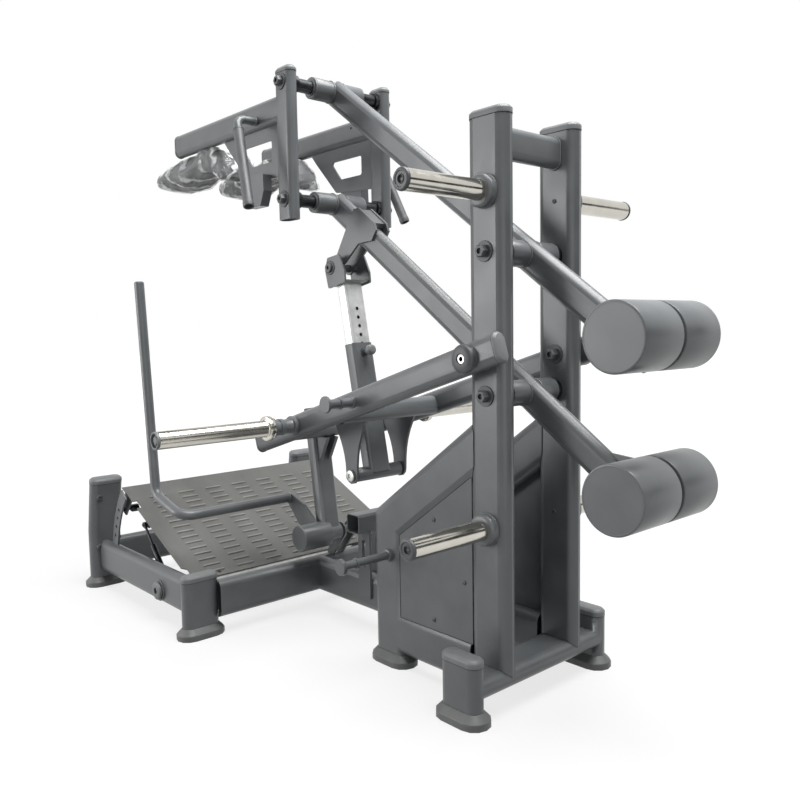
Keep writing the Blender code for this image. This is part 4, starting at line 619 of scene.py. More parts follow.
def extrude_ring(here, there, grow=1.0):
    """Extrude the selected ring from one centre to the next, and widen it; return the new centre."""
    bpy.ops.mesh.extrude_region_move(TRANSFORM_OT_translate={"value": there - here})
    if grow != 1.0:
        bpy.ops.transform.resize(value=(grow, grow, grow), center_override=there)
    return there


# Sizes that a user would change

class FinishSettings(PropertyGroup):
    """Sizes of the fine forms."""
    foot_edge: FloatProperty(name="Foot edge", description="Rounding of the rubber feet's edges",
                             default=0.0015, min=0.0, unit="LENGTH")
    pad_voxel: FloatProperty(name="Pad grid", description="Grid of the pads' cloth", default=0.005, min=0.003,
                             unit="LENGTH")
    pad_pressure: FloatProperty(name="Pad pressure", description="Pressure inside the pads", default=4.0)
    louvre_length: FloatProperty(name="Louvre length", description="Length of a louvre", default=0.072,
                                 unit="LENGTH")
    louvre_width: FloatProperty(name="Louvre width", description="Width of a louvre", default=0.013,
                                unit="LENGTH")
    louvre_rise: FloatProperty(name="Louvre rise", description="Height of a louvre", default=0.0042,
                               unit="LENGTH")
    louvre_columns: IntProperty(name="Louvre columns", description="Louvres side by side", default=7, min=1)
    louvre_rows: IntProperty(name="Louvre rows", description="Louvres one behind the other", default=15,
                             min=1)
    column_pitch: FloatProperty(name="Column pitch", description="Distance between columns", default=0.112,
                                unit="LENGTH")
    row_pitch: FloatProperty(name="Row pitch", description="Distance between rows", default=0.0325,
                             unit="LENGTH")
    first_row: FloatProperty(name="First row", description="Place of the first row behind the tilt axle",
                             default=-0.088, unit="LENGTH")


class StageSettings(PropertyGroup):
    """Camera, floor and light."""
    lens: FloatProperty(name="Lens", description="Focal length for a 36 mm sensor, in millimetres",
                        default=36.39, min=10)
    floor: FloatProperty(name="Floor", description="Side of the floor", default=60.0, unit="LENGTH")
    world: FloatProperty(name="World", description="Strength of the even light", default=0.18)
    key: FloatProperty(name="Key", description="Power of the large soft lamp at the side, in watts",
                       default=180.0)
    top: FloatProperty(name="Top", description="Power of the overhead lamp, in watts", default=430.0)
    fill: FloatProperty(name="Fill", description="Power of the low lamp behind, in watts", default=9.0)


# Pieces

PAINTED = {
    "root": ("side_frame_right", "side_frame_left", "rear_base", "spine_frame", "platform_side_right",
             "platform_side_left", "platform_rear_beam", "top_cross_tube", "upright_right", "upright_left"),
    "lower_lever": ("lower_lever", "strut_bracket"),
    "upper_lever": ("upper_lever",),
    "yoke": ("yoke_side_right", "yoke_side_left"),
    "load_arm": ("load_arm_right", "load_arm_left", "load_arm_rear_tube", "load_arm_front_bar"),
    "strut": ("strut_outer_tube", "strut_clevis"),
    "catch": ("catch_post",),
    "footplate": ("footplate_frame",),
}
OUT = UPRIGHT_X + TUBE_HALF
INNER = UPRIGHT_X - TUBE_HALF


def bead(radius, low, high, rise=0.0028):
    """Return the profile of a weld bead round a tube between two distances."""
    middle = (low + high) / 2
    step = (middle - low) * 0.35
    return ((radius - MM, low), (radius + rise * 0.7, low + step), (radius + rise, middle),
            (radius + rise * 0.7, high - step), (radius - MM, high))


class SQUAT_OT_frame(Operator):
    """Dress the painted steel frame, levers and arms, and lay the weld beads."""
    bl_idname = "squat.frame"
    bl_label = "Painted frame"
    bl_options = {"REGISTER", "UNDO"}

    def execute(self, context):
        for body, nodes in PAINTED.items():
            for node in nodes:
                refined(node, body, "paint")
        ridge = rings(0, (-1, 0), (2.2, 1), (3, 3), (2.2, 5), (-1, 6))
        beads = [stadium(*ARM_TUBE, ridge, at(sign * INNER, 0, CROSS_TUBE_Z), (-sign, 0, 0), Z_AXIS)
                 for _, sign in SIDES]
        finish_piece(join(beads, "beads"), "cross_tube_weld", "root", "weld")
        corners = ((-0.200, 0.1458), (-0.3312, 0.1458), (-0.3312, 0.3809), (-0.0540, 0.5816),
                   (-0.0540, 0.1458), (-0.201, 0.1458))
        seam_and_shade = bent_rod([at(PANEL_FACE, y, z) for y, z in corners], 1.4 * MM, 4 * MM, 8, 4, 0.2 * MM)
        finish_piece(both_sides(seam_and_shade, "seams"), "panel_seams", "root", "seam_and_shade")
        sleeve = rings(0, (30, 18.8), (32.8, 19), (32.8, 87.2), (32.2, 88.2), (29, 88.4))
        hub_weld = bead(HUB_RADIUS, 0.0195, 0.0255)
        for body, _, pivot in LEVERS:
            hubs = ((0, 0, pivot), (0, YOKE_Y, lever_front(pivot)))
            round_group(body + "_weld", body, "weld", [(hub_weld, hub, X_AXIS) for hub in hubs],
                        paired=True)
            round_group(body + "_hub_skins", body, "paint", [(sleeve, hub, X_AXIS) for hub in hubs],
                        paired=True, steps=64)
        return {"FINISHED"}


POST_CAP = rings(0, (0.2, -0.4), (0.7, 0.2), (0.7, 11), (0.3, 12.4), (-5.6, 18.2), (-7, 19))
ARM_CAP = rings(0, (0.2, -0.4), (0.7, 0.2), (0.7, 7), (-6.4, 15.8), (-7.4, 16.3))
FLAT_CAP = rings(0, (0.2, -0.4), (0.7, 0.2), (0.7, 5.8), (0.2, 6.6), (-4.8, 10.8), (-6, 11.2))
SEAM = rings(0, (-0.6, -1.6), (0.3, -1.5), (0.3, 0.2), (-0.6, 0.3))


def end_caps():
    """List each capped tube end: body, tube, cap profile, place, axis and the wide direction."""
    lean = Vector((0, sin(REAR_POST_LEAN), cos(REAR_POST_LEAN)))
    rear_top = Vector((PLATFORM_POST_X, PLATFORM_REAR_Y, 0.210)) + 0.190 * lean
    slope = Vector((0, cos(LOAD_SLOPE), sin(LOAD_SLOPE)))
    front = Vector((LOAD_ARM_X, *load_place(-0.940)))
    rear = Vector((LOAD_ARM_X, *load_place(0.085)))
    yoke_top = lever_front(LEVER_HIGH_Z) + 0.029
    return (("root", FRAME_TUBE, POST_CAP, (0.250, 0, 0.147), Z_AXIS, Y_AXIS),
            ("root", FRAME_TUBE, POST_CAP, (PLATFORM_POST_X, -0.954, 0.180), Z_AXIS, X_AXIS),
            ("root", FRAME_TUBE, POST_CAP, rear_top, lean, X_AXIS),
            ("yoke", ARM_TUBE, ARM_CAP, (YOKE_X, YOKE_Y, yoke_top), Z_AXIS, Y_AXIS),
            ("yoke", ARM_TUBE, FLAT_CAP, (YOKE_X, -1.467, 1.627), -Y_AXIS, Z_AXIS),
            ("load_arm", LOAD_TUBE, FLAT_CAP, rear, slope, slope.cross(X_AXIS)),
            ("load_arm", LOAD_TUBE, FLAT_CAP, front, -slope, slope.cross(X_AXIS)))


class SQUAT_OT_caps(Operator):
    """Cap the tube ends, draw the dark seams under the caps and dress the rubber feet."""
    bl_idname = "squat.caps"
    bl_label = "Caps and feet"
    bl_options = {"REGISTER", "UNDO"}

    def execute(self, context):
        look = context.scene.squat_finish
        for side, sign in SIDES:
            plugged = (*rings(0, (-3.3, -25), (-3.3, 0.3)), *POST_CAP[1:])
            cap = stadium(*FRAME_TUBE, plugged, at(sign * UPRIGHT_X, 0, UPRIGHT_TOP), Z_AXIS, Y_AXIS)
            finish_piece(cap, "upright_cap_" + side + "_fine", "root", "cap", ("upright_cap_" + side,))
            for foot in ("rear_foot_", "side_frame_foot_", "platform_front_foot_", "platform_rear_foot_"):
                refined(foot + side, "root", "rubber", soften=look.foot_edge)
        caps = {}
        seams = {"root": [stadium(*FRAME_TUBE, SEAM, at(UPRIGHT_X, 0, UPRIGHT_TOP), Z_AXIS, Y_AXIS)]}
        for body, tube, profile, place, axis, across in end_caps():
            caps.setdefault(body, []).append(stadium(*tube, profile, at(*place), axis, across))
            seams.setdefault(body, []).append(stadium(*tube, SEAM, at(*place), axis, across))
        for body, pieces in caps.items():
            fasteners(body + "_end_caps", body, "cap", pieces)
            fasteners(body + "_cap_seams", body, "seam_and_shade", seams[body])
        return {"FINISHED"}


def short_cap(tip):
    """Return the profile of a short end cap with a deep recess and a screw head in it."""
    return rings(tip, (24.4, -7), (25, -6.6), (25, -2), (24, 0), (20, 0), (19.2, -1), (19, -6.5),
                 (12, -6.5), (11.2, -3), (7, -2.2), (4, -2.2))


def horn_bar(root, tip):
    """Return the profile of a plate horn's bar, with a small chamfer before its cap."""
    return (*rings(root, (24.5, 0), (25, 0.5)), *rings(tip, (25, -9.2), (24.5, -8.7)))


def horn_cap(tip):
    """Return the profile of a horn's end cap: a rounded edge, a dished face and a hub."""
    return rings(tip, (25, -8.8), (26.2, -8.2), (26.2, -5.2), (25.5, -2.6), (23.8, -0.8), (21.2, 0),
                 (18.5, 0), (17.2, -2.2), (11, -2.2), (10.4, -0.5), (9, -0.5), (8.5, -6), (4.5, -6),
                 (4, -4.8))


class SQUAT_OT_storage_horns(Operator):
    """Turn the four chrome storage horns, their end caps and their collars."""
    bl_idname = "squat.storage_horns"
    bl_label = "Storage horns"
    bl_options = {"REGISTER", "UNDO"}

    def execute(self, context):
        root = 0.1823
        tip = 0.428
        for name, z in STORAGE_HORNS:
            for side, sign in SIDES:
                node = "storage_horn_" + name + "_" + side
                spot = ((0, 0, z), (sign, 0, 0))
                bar = horn_bar(root, tip)
                round_group(node + "_bar", "root", "chrome", [(bar, *spot)], (node,), steps=64)
                round_group(node + "_cap", "root", "plug", [(horn_cap(tip), *spot)], steps=64)
        collar = rings(OUT, (38.5, -0.5), (40.3, 1), (40.3, 15.5), (39.6, 16.8), (34.6, 21.8),
                       (33.6, 22.2), (30, 22.2), (29, 22.6), (26.2, 22.6))
        weld = bead(0.0400, OUT - 0.001, OUT + 0.004, 0.0022)
        items = [(form, (0, 0, z), X_AXIS) for form in (collar, weld) for _, z in STORAGE_HORNS]
        round_group("storage_collars", "root", "paint", items, paired=True, steps=64)
        return {"FINISHED"}


class SQUAT_OT_counterweights(Operator):
    """Turn the two cylindrical counterweights."""
    bl_idname = "squat.counterweights"
    bl_label = "Counterweights"
    bl_options = {"REGISTER", "UNDO"}

    def execute(self, context):
        half = 0.156
        radius = 0.079
        lip = 0.0052
        edge = 0.0028
        rise = 0.0423
        y = 0.355
        side = ((0.0235, lip + 0.012), (0.066, lip + 0.002), (0.066, lip), (radius - 0.0034, lip),
                (radius - 0.0010, lip + 0.0009), (radius, lip + 0.0034), (radius, half - edge),
                (radius - 0.0008, half - 0.0008), (radius - edge, half), (radius - 0.0050, half),
                (radius - 0.0054, half - 0.0005), (0.020, half - 0.0005))
        core = rings(0, (23.6, -20), (23.6, 20))
        for body, _, pivot in LEVERS:
            run = y - rise * sin(LEVER_SLOPE)
            z = pivot - run * tan(LEVER_SLOPE) + rise * cos(LEVER_SLOPE)
            place = (0, y, z)
            node = body.replace("lever", "counterweight")
            items = [(side, place, X_AXIS), (side, place, -X_AXIS), (core, place, X_AXIS)]
            round_group(node + "_drum", body, "paint", items, (node,), steps=96)
        return {"FINISHED"}


class SQUAT_OT_pivots(Operator):
    """Turn the bushes, shafts and domed caps of the levers' and the load arm's pivots."""
    bl_idname = "squat.pivots"
    bl_label = "Pivots"
    bl_options = {"REGISTER", "UNDO"}

    def execute(self, context):
        bush = rings(0, (29, 87.5), (31.8, 88.3), (32.5, 89.2), (32.5, 92.5), (31.5, 93.4), (22.5, 93.4),
                     (22.5, 96.2), (27.5, 96.2), (28.5, 97), (28.5, 106), (27.5, 106.8), (23.5, 107),
                     (23.5, 109.8))
        for body, level, pivot in LEVERS:
            shaft = "fulcrum_shaft_" + level
            axle = bar_form(0.015, 0.1096, edge=0.6 * MM)
            # The fulcrum bushes take the near-black oxide finish: partly the spacers' own colour, partly
            # painted shade of the gap between upright and lever hub.
            round_pair(body + "_bushes", body, "dark", (0, 0, pivot), bush)
            round_group(shaft + "_bar", "root", "steel", [(axle, (0, 0, pivot), X_AXIS)], (shaft,))
        out = LOAD_ARM_X + 0.020
        ring = rings(out, (25.5, -1), (34.5, 0), (35.2, 0.6), (35.2, 1.8), (34, 2.4))
        dome = rings(out, (33, 3.1), (34.7, 3.7), (34.7, 11.8), (33.5, 14.2), (30.6, 16.8), (27.4, 18.6),
                     (21.5, 19.9), (16, 20.4), (12.8, 20.5), (11.8, 19), (11.5, 13.8))
        stud = rings(out, (11.2, 12), (11.2, 16.8), (10.4, 17.6), (6.2, 17.6), (5.6, 13.8))
        place = (0, 0, LOAD_PIVOT_Z)
        boss = rings(OUT, (29, -1), (30.3, 0), (30.3, 9.5), (29, 10.2))
        round_pair("load_pivot_rings", "load_arm", "weld", place, ring, steps=64)
        round_pair("load_pivot_caps", "root", "bolt", place, dome, steps=64)
        round_pair("load_pivot_studs", "root", "steel", place, stud)
        round_pair("load_pivot_bosses", "root", "paint", place, boss)
        bolts = [hex_bolt(at(OUT, 0, pivot), X_AXIS, 0.0255, 0.0160, 0.017) for _, _, pivot in LEVERS]
        bolts.append(hex_bolt(at(INNER, 0, LOAD_PIVOT_Z), -X_AXIS, 0.0255, 0.0165, 0.019))
        fasteners("upright_bolts", "root", "bolt", bolts)
        return {"FINISHED"}


class SQUAT_OT_yoke(Operator):
    """Turn the yoke's shafts and bolts, and bend its handles."""
    bl_idname = "squat.yoke"
    bl_label = "Yoke"
    bl_options = {"REGISTER", "UNDO"}

    def execute(self, context):
        reach = YOKE_X - YOKE_HALF
        bush = rings(0, (29, 87.5), (32.5, 88.5), (32.5, 94), (31.2, 95.2), (24.5, 95.2), (24.5, 98.5))
        collar = rings(reach, (22.5, -14), (26.2, -13.2), (26.2, -0.6))
        bolts = []
        shaft = bar_form(0.020, reach - 0.3 * MM)
        for body, level, pivot in LEVERS:
            z = lever_front(pivot)
            place = (0, YOKE_Y, z)
            node = "yoke_shaft_" + level
            items = [(shaft, place, X_AXIS), (collar, place, X_AXIS), (collar, place, -X_AXIS)]
            round_group(node + "_bar", "yoke", "dark", items, (node,))
            round_pair(body + "_yoke_bushes", body, "weld", place, bush)
            bolts.append(hex_bolt(at(YOKE_X + YOKE_HALF, YOKE_Y, z), X_AXIS, 0.0250, 0.0150, 0.014))
        fasteners("yoke_bolts", "yoke", "bolt", bolts)
        start = at(YOKE_X + YOKE_HALF + 0.0003, *HANDLE_TOP)
        corner = at(0.272, *HANDLE_TOP)
        tip = at(*HANDLE_TIP)
        down = (tip - corner).normalized()
        bar = bent_rod((start, corner, corner + down * 0.052), 0.0125, 0.028, ends=0.0005)
        elbow = turned(bead(0.0122, 0.0, 0.007, 0.0030), start, X_AXIS)
        other = twin(bar, "bar")
        finish_piece(join([bar, elbow, other, twin(elbow, "elbow")], "bars"), "handle_bars", "yoke", "paint")
        length = (tip - corner).length
        sleeve = (*rings(0, (12.8, 38.5), (15.8, 38.8), (17, 39.8), (17, 43), (16, 44)),
                  *rings(length, (16, -16), (17.2, -14.5), (17.2, -3), (16.2, 0), (13, 0), (11.8, -1),
                         (11.2, -14)))
        grip = turned(sleeve, corner, down)
        for made, side in ((grip, "right"), (twin(grip, "grip"), "left")):
            finish_piece(made, "handle_grip_" + side, "yoke", "grip", ("handle_" + side,))
        return {"FINISHED"}


CLOTH_FRAMES = 20


def puffed(piece, pressure, most, ceiling):
    """Blow a closed mesh up like a stuffed cover, never further than most nor above a ceiling."""
    scene = bpy.context.scene
    only(piece)
    first = [point.co.copy() for point in piece.data.vertices]
    cloth = piece.modifiers.new("stuffing", "CLOTH")
    cloth.settings.use_pressure = True
    cloth.settings.uniform_pressure_force = pressure
    cloth.settings.effector_weights.gravity = 0
    cloth.point_cache.frame_start = 1
    cloth.point_cache.frame_end = CLOTH_FRAMES
    for frame_number in range(1, CLOTH_FRAMES + 1):
        scene.frame_set(frame_number)
    swollen = piece.evaluated_get(bpy.context.evaluated_depsgraph_get()).data
    last = [point.co.copy() for point in swollen.vertices]
    piece.modifiers.remove(cloth)
    scene.frame_set(1)
    for point, before, after in zip(piece.data.vertices, first, last):
        move = after - before
        if move.length > most:
            move *= most / move.length
        point.co = before + move
        point.co.z = min(point.co.z, ceiling)
    return piece


def push(piece, distance):
    """Move a mesh's surface out along its normals."""
    modify(piece, "DISPLACE", strength=distance, mid_level=0)


class SQUAT_OT_pads(Operator):
    """Stuff the shoulder pads and shrink the clear film round them."""
    bl_idname = "squat.pads"
    bl_label = "Shoulder pads"
    bl_options = {"REGISTER", "UNDO"}

    def execute(self, context):
        look = context.scene.squat_finish
        pad = cad_copy("shoulder_pad_right")
        modify(pad, "REMESH", mode="VOXEL", voxel_size=look.pad_voxel)
        push(pad, -0.006)
        puffed(pad, look.pad_pressure, 0.012, PAD_CEILING)
        modify(pad, "SMOOTH", iterations=4)
        modify(pad, "SUBSURF", levels=1, render_levels=1)
        for point in pad.data.vertices:
            rearward = min(max((PAD_REAR_Y - point.co.y) / 0.12, 0), 1)
            point.co.z = min(point.co.z + 0.012 * rearward, PAD_CEILING)
        film = copy_of(pad)
        push(film, 0.0016)
        creases = bpy.data.textures.new("creases", "CLOUDS")
        creases.noise_scale = 0.070
        creases.noise_depth = 3
        modify(film, "DISPLACE", texture=creases, texture_coords="LOCAL", strength=0.010, mid_level=0.30)
        for point in film.data.vertices:
            point.co.z = min(point.co.z, PAD_CEILING + MM)
        film_left = twin(film, "film")
        pad_left = twin(pad, "pad")
        for piece, side in ((pad, "right"), (pad_left, "left")):
            finish_piece(piece, "shoulder_cushion_" + side, "yoke", "pad", ("shoulder_pad_" + side,),
                         angle=60)
        for piece, side in ((film, "right"), (film_left, "left")):
            finish_piece(piece, "shoulder_film_" + side, "yoke", "film", angle=60)
        return {"FINISHED"}


def load_place(y, rise=0.0):
    """Return the (y, z) place on the load arm's centre line, raised square to it."""
    return y - rise * sin(LOAD_SLOPE), LOAD_PIVOT_Z + tan(LOAD_SLOPE) * y + rise * cos(LOAD_SLOPE)


class SQUAT_OT_load_horns(Operator):
    """Turn the load arm's plate horns with their flanges, stubs and caps, and its band pegs."""
    bl_idname = "squat.load_horns"
    bl_label = "Load horns"
    bl_options = {"REGISTER", "UNDO"}

    def execute(self, context):
        y, z = load_place(-0.723, 0.003)
        face = LOAD_ARM_X + 0.020
        root = face + 0.0853
        tip = 0.679
        flange = (*rings(root, (33.5, 0), (36.2, 0.8), (37, 3), (37, 15), (36.2, 17.2), (33.5, 18),
                         (27.5, 18), (26.6, 19.6), (25.3, 20), (25, 21.5)), *rings(tip, (25, -8),
                                                                                   (24.3, -7.4)))
        stub = rings(face, (29, -1), (30, 0.5), (30, 12), (28.5, 13.5), (22.5, 14), (21.5, 16),
                     (21.5, 42), (24.5, 42.5), (25, 43.5), (25, 56), (24, 57), (21.5, 57.5), (21.5, 74),
                     (29, 74.5), (30, 75.5), (30, 85))
        peg = rings(face, (18, -1), (17.2, 3), (13.3, 4.5), (13.3, 39.5), (16.8, 40), (17.2, 40.5),
                    (17.2, 45.8), (16.5, 46.4), (13.3, 46.6), (13.3, 85.8), (22.2, 86), (23.3, 86.8),
                    (23.3, 93), (22.2, 94.1), (8, 94.1))
        for side, sign in SIDES:
            node = "load_horn_" + side
            spot = ((0, y, z), (sign, 0, 0))
            round_group(node + "_bar", "load_arm", "chrome", [(flange, *spot)], (node,), steps=64)
            round_group(node + "_cap", "load_arm", "cap", [(short_cap(tip), *spot)], steps=64)
        round_pair("load_horn_stubs", "load_arm", "paint", (0, y, z), stub)
        round_pair("load_band_pegs", "load_arm", "paint", (0, *load_place(-0.437, 0.004)), peg)
        skin = bar_form(0.0243, LOAD_ARM_X - 0.0203, chamfer=0.3 * MM)
        cross = (0, *load_place(-0.858))
        round_group("load_front_bar_skin", "load_arm", "paint", [(skin, cross, X_AXIS)], steps=64)
        peg = rings(OUT, (18.5, -1), (17.8, 3), (17.3, 9.5), (16, 10.5), (11.3, 10.8), (11.3, 117.8),
                    (14.7, 118), (15.2, 118.6), (15.2, 122.5), (14.7, 123.2), (11.3, 123.4),
                    (11.3, 164.8), (21.2, 165), (22.3, 166), (22.3, 175), (21.2, 176.1), (7, 176.1))
        round_pair("frame_band_pegs", "root", "paint", (0, -0.370, 0.318), peg)
        return {"FINISHED"}


def strut_lines():
    """Return the strut's lower pivot, the direction of its tube and the way its pull pin faces."""
    low = at(*STRUT_LOW)
    axis = (at(*STRUT_TUBE_END) - low).normalized()
    facing = axis.cross(X_AXIS)
    return low, axis, facing if facing.y > 0 else -facing


class SQUAT_OT_strut(Operator):
    """Dress the telescopic strut: inner tube, axle heads, clevis bolt and pull pin."""
    bl_idname = "squat.strut"
    bl_label = "Strut"
    bl_options = {"REGISTER", "UNDO"}

    def execute(self, context):
        refined("strut_inner_tube", "strut", "silver")
        low, axis, facing = strut_lines()
        length = (at(*STRUT_TOP) - low).dot(axis)
        pin = low + axis * (length - PULL_PIN_DROP)
        collar = rings(0, (11.5, 24), (15, 24.5), (15, 27.5), (10.8, 28), (10.4, 44.5))
        finish_piece(turned(collar, pin, facing, 32), "pull_pin_collar", "strut", "bolt")
        knob = rings(0, (5.6, 17), (5.6, 45), (13, 45.2), (14.6, 47), (16, 50), (16.3, 53), (16.3, 60),
                     (15.6, 64), (13.8, 67.2), (11, 69), (6, 69.2))
        finish_piece(turned(knob, pin, facing), "pull_pin_knob", "pop_pin", "cap", ("strut_pop_pin",))
        outside = 0.1023
        axle = (*rings(0, (13.5, 0), (14, 1)), *rings(outside, (14, 0), (17.2, 0), (18.1, 1), (18.1, 6.6),
                                                      (16.6, 8.6), (14, 9.3), (7, 9.3), (6.4, 6)))
        items = [(axle, STRUT_LOW, X_AXIS), (axle, STRUT_LOW, -X_AXIS)]
        round_group("strut_axle_bar", "load_arm", "steel", items, ("strut_axle",))
        face = 0.053
        bolt = rings(face, (21.5, -0.5), (22.2, 0.3), (22.2, 2), (21, 2.8), (15.3, 3), (15.3, 8.2),
                     (13.8, 10.3), (6.2, 10.3), (5.6, 5))
        round_pair("strut_top_bolt", "strut", "bolt", STRUT_TOP, bolt)
        return {"FINISHED"}


class SQUAT_OT_catch(Operator):
    """Bend the release lever and turn the catch's drum."""
    bl_idname = "squat.catch"
    bl_label = "Catch and release lever"
    bl_options = {"REGISTER", "UNDO"}

    def execute(self, context):
        route = (at(RELEASE_X, -1.262, 1.121), at(RELEASE_X, -1.203, 0.415), at(RELEASE_X, *RELEASE_RUN),
                 at(0.0533, *RELEASE_RUN))
        lever = bent_rod(route, 0.016, 0.045, 40, 14, 0.0035)
        finish_piece(lever, "release_lever_bar", "catch", "paint", ("release_lever",))
        drum = rings(0, (27.8, 12), (41.5, 12.4), (43.2, 13.8), (43.2, 122.2), (42.7, 124.2),
                     (41.2, 125.1), (39, 125.1), (38.4, 124.6), (5, 124.6))
        neck = rings(0, (27, -38), (28.2, -37.2), (28.2, 13))
        forms = (drum, neck, bead(0.0280, 0.0050, 0.0125, 0.003))
        round_group("catch_drum", "catch", "paint", [(form, CATCH_PIVOT, X_AXIS) for form in forms], steps=64)
        seat = turned(bead(0.0158, 0.0, 0.007, 0.003), at(0.0530, *RELEASE_RUN))
        finish_piece(seat, "release_lever_weld", "catch", "weld")
        return {"FINISHED"}


def plate_space():
    """Return the matrix of the footplate: x to the side, y rearward along it, z square to it."""
    back = Vector((0, -cos(PLATE_TILT), sin(PLATE_TILT)))
    normal = Vector((0, sin(PLATE_TILT), cos(PLATE_TILT)))
    place = Matrix((-X_AXIS, back, normal)).transposed().to_4x4()
    place.translation = at(0, TILT_Y, TILT_Z) + normal * PLATE_RISE
    return place


class SQUAT_OT_footplate(Operator):
    """Lay the footplate's sheet and press its rows of louvres."""
    bl_idname = "squat.footplate"
    bl_label = "Footplate"
    bl_options = {"REGISTER", "UNDO"}

    def execute(self, context):
        look = context.scene.squat_finish
        space = plate_space()
        level = space.inverted()
        sheet = cad_copy("footplate")
        edit(sheet)
        bpy.ops.mesh.select_all(action="DESELECT")
        leave()
        for point in sheet.data.vertices:
            point.select = (level @ point.co).z > 0.0001
        bpy.ops.object.mode_set(mode="EDIT")
        bpy.ops.mesh.delete(type="VERT")
        bpy.ops.mesh.select_all(action="SELECT")
        bpy.ops.mesh.fill_holes(sides=0)
        bpy.ops.mesh.dissolve_limited(angle_limit=radians(1))
        leave()
        modify(sheet, "BEVEL", width=0.0012, segments=2, limit_method="ANGLE")
        finish_piece(sheet, "footplate_sheet", "footplate", "plate", ("footplate",))
        press_louvres(look, space)
        # Dark discs laid just above the sheet stand for its two holes: painted shade where the holes are.
        hole_shade = rings(0, (6.2, 0.1), (6.2, 0.4))
        hole_shades = [turned(hole_shade, space @ Vector((x, -0.098, 0)), space.col[2].xyz, 24) for x in (-0.327, 0.327)]
        finish_piece(join(hole_shades, "hole_shades"), "footplate_hole_shades", "footplate", "seam_and_shade")
        return {"FINISHED"}


def press_louvres(look, space):
    """Model one louvre, a raised bar open along its front, and repeat it in rows and columns."""
    deselect()
    half_long = look.louvre_length / 2
    half_wide = look.louvre_width / 2
    bpy.ops.mesh.primitive_cube_add(size=1)
    louvre = bpy.context.object
    louvre.scale = (2 * half_long, 2 * half_wide, 2 * look.louvre_rise)
    bpy.ops.object.transform_apply(scale=True)
    for point in louvre.data.vertices:
        if point.co.z > 0:
            point.co.x *= 1 - 0.006 / half_long
            point.co.y = point.co.y * 0.55 - half_wide * 0.30
    modify(louvre, "BEVEL", width=0.0021, segments=3)
    for count, offset in ((look.louvre_columns, (look.column_pitch, 0, 0)),
                          (look.louvre_rows, (0, look.row_pitch, 0))):
        modify(louvre, "ARRAY", count=count, use_relative_offset=False, use_constant_offset=True,
               constant_offset_displace=offset)
    start = Vector((-(look.louvre_columns - 1) / 2 * look.column_pitch, look.first_row, 0.0004))
    louvre.matrix_world = space @ Matrix.Translation(start)
    settle(louvre)
    # The louvres take the lighter coat, a painted highlight on the raised bars.
    finish_piece(louvre, "footplate_louvres", "footplate", "louvre")


class SQUAT_OT_tilt_parts(Operator):
    """Turn the tilt axle, its caps, the index pin and the gas spring."""
    bl_idname = "squat.tilt_parts"
    bl_label = "Tilt parts"
    bl_options = {"REGISTER", "UNDO"}

    def execute(self, context):
        place = (0, TILT_Y, TILT_Z)
        reach = 0.4247
        bar = bar_form(0.013, reach)
        round_group("tilt_axle_bar", "root", "steel", [(bar, place, X_AXIS)], ("tilt_axle",))
        out = 0.475
        washer = rings(out, (34.5, -1), (35.5, 0.6), (35.5, 3.2), (34.5, 4.2), (27, 4.2))
        cap = rings(out, (26.2, 3), (26.2, 6.2), (29.2, 6.4), (30, 7.4), (30, 11.2), (28.8, 13.8),
                    (25.2, 15.6), (20, 16.5), (11.2, 16.5), (10.4, 15.8), (10, 7.5))
        round_pair("tilt_axle_caps", "root", "cap", place, washer, cap)
        pin_place = (0, TILT_Y - PIN_RADIUS * cos(PIN_ANGLE), TILT_Z + PIN_RADIUS * sin(PIN_ANGLE))
        inside = 0.409
        pin = (*rings(inside, (10, -30), (12.4, -29.2), (14, -26.5), (14, -7), (12.8, -4), (9.2, 0),
                      (5.5, 0.2)), *rings(0, (5.5, 444.8), (3.5, 446.5)))
        round_group("index_pin_knob", "index_pin", "dark", [(pin, pin_place, X_AXIS)], ("index_pin",))
        low = at(*GAS_LOW)
        high = at(*GAS_HIGH)
        axis = (high - low).normalized()
        length = (high - low).length
        mouth = length * 0.60
        tube = (*rings(0, (6, 8.5), (8.5, 9), (11, 12.5)), *rings(mouth, (11, -2), (9.8, 0), (6, 0)))
        eye = rings(0, (8.5, -6), (10, -5), (10, 5), (8.5, 6))
        cylinder = join([turned(tube, low, axis, 32), turned(eye, low, X_AXIS, 32)], "cylinder")
        finish_piece(cylinder, "gas_spring_tube", "gas_cylinder", "dark", ("gas_spring_cylinder",))
        rod = (*rings(mouth, (4.3, -70), (4.5, -69)), *rings(length, (4.5, -14), (6.2, -13.8), (6.2, -8)))
        piston = join([turned(rod, low, axis, 32), turned(eye, high, X_AXIS, 32)], "piston")
        finish_piece(piston, "gas_spring_piston", "gas_rod", "dark", ("gas_spring_rod",))
        stud = rings(0, (4.8, 385.5), (5, 386), (5, 424.5))
        items = [(stud, (0, *GAS_LOW[1:]), X_AXIS)]
        round_group("gas_stud_bar", "root", "steel", items, ("gas_spring_stud",), steps=24)
        return {"FINISHED"}


PIN_RADIUS = 0.4175
PIN_ANGLE = radians(30.0)
POST_BOLTS = ((0.476, -1.651, 0.343), (0.476, -1.675, 0.150))


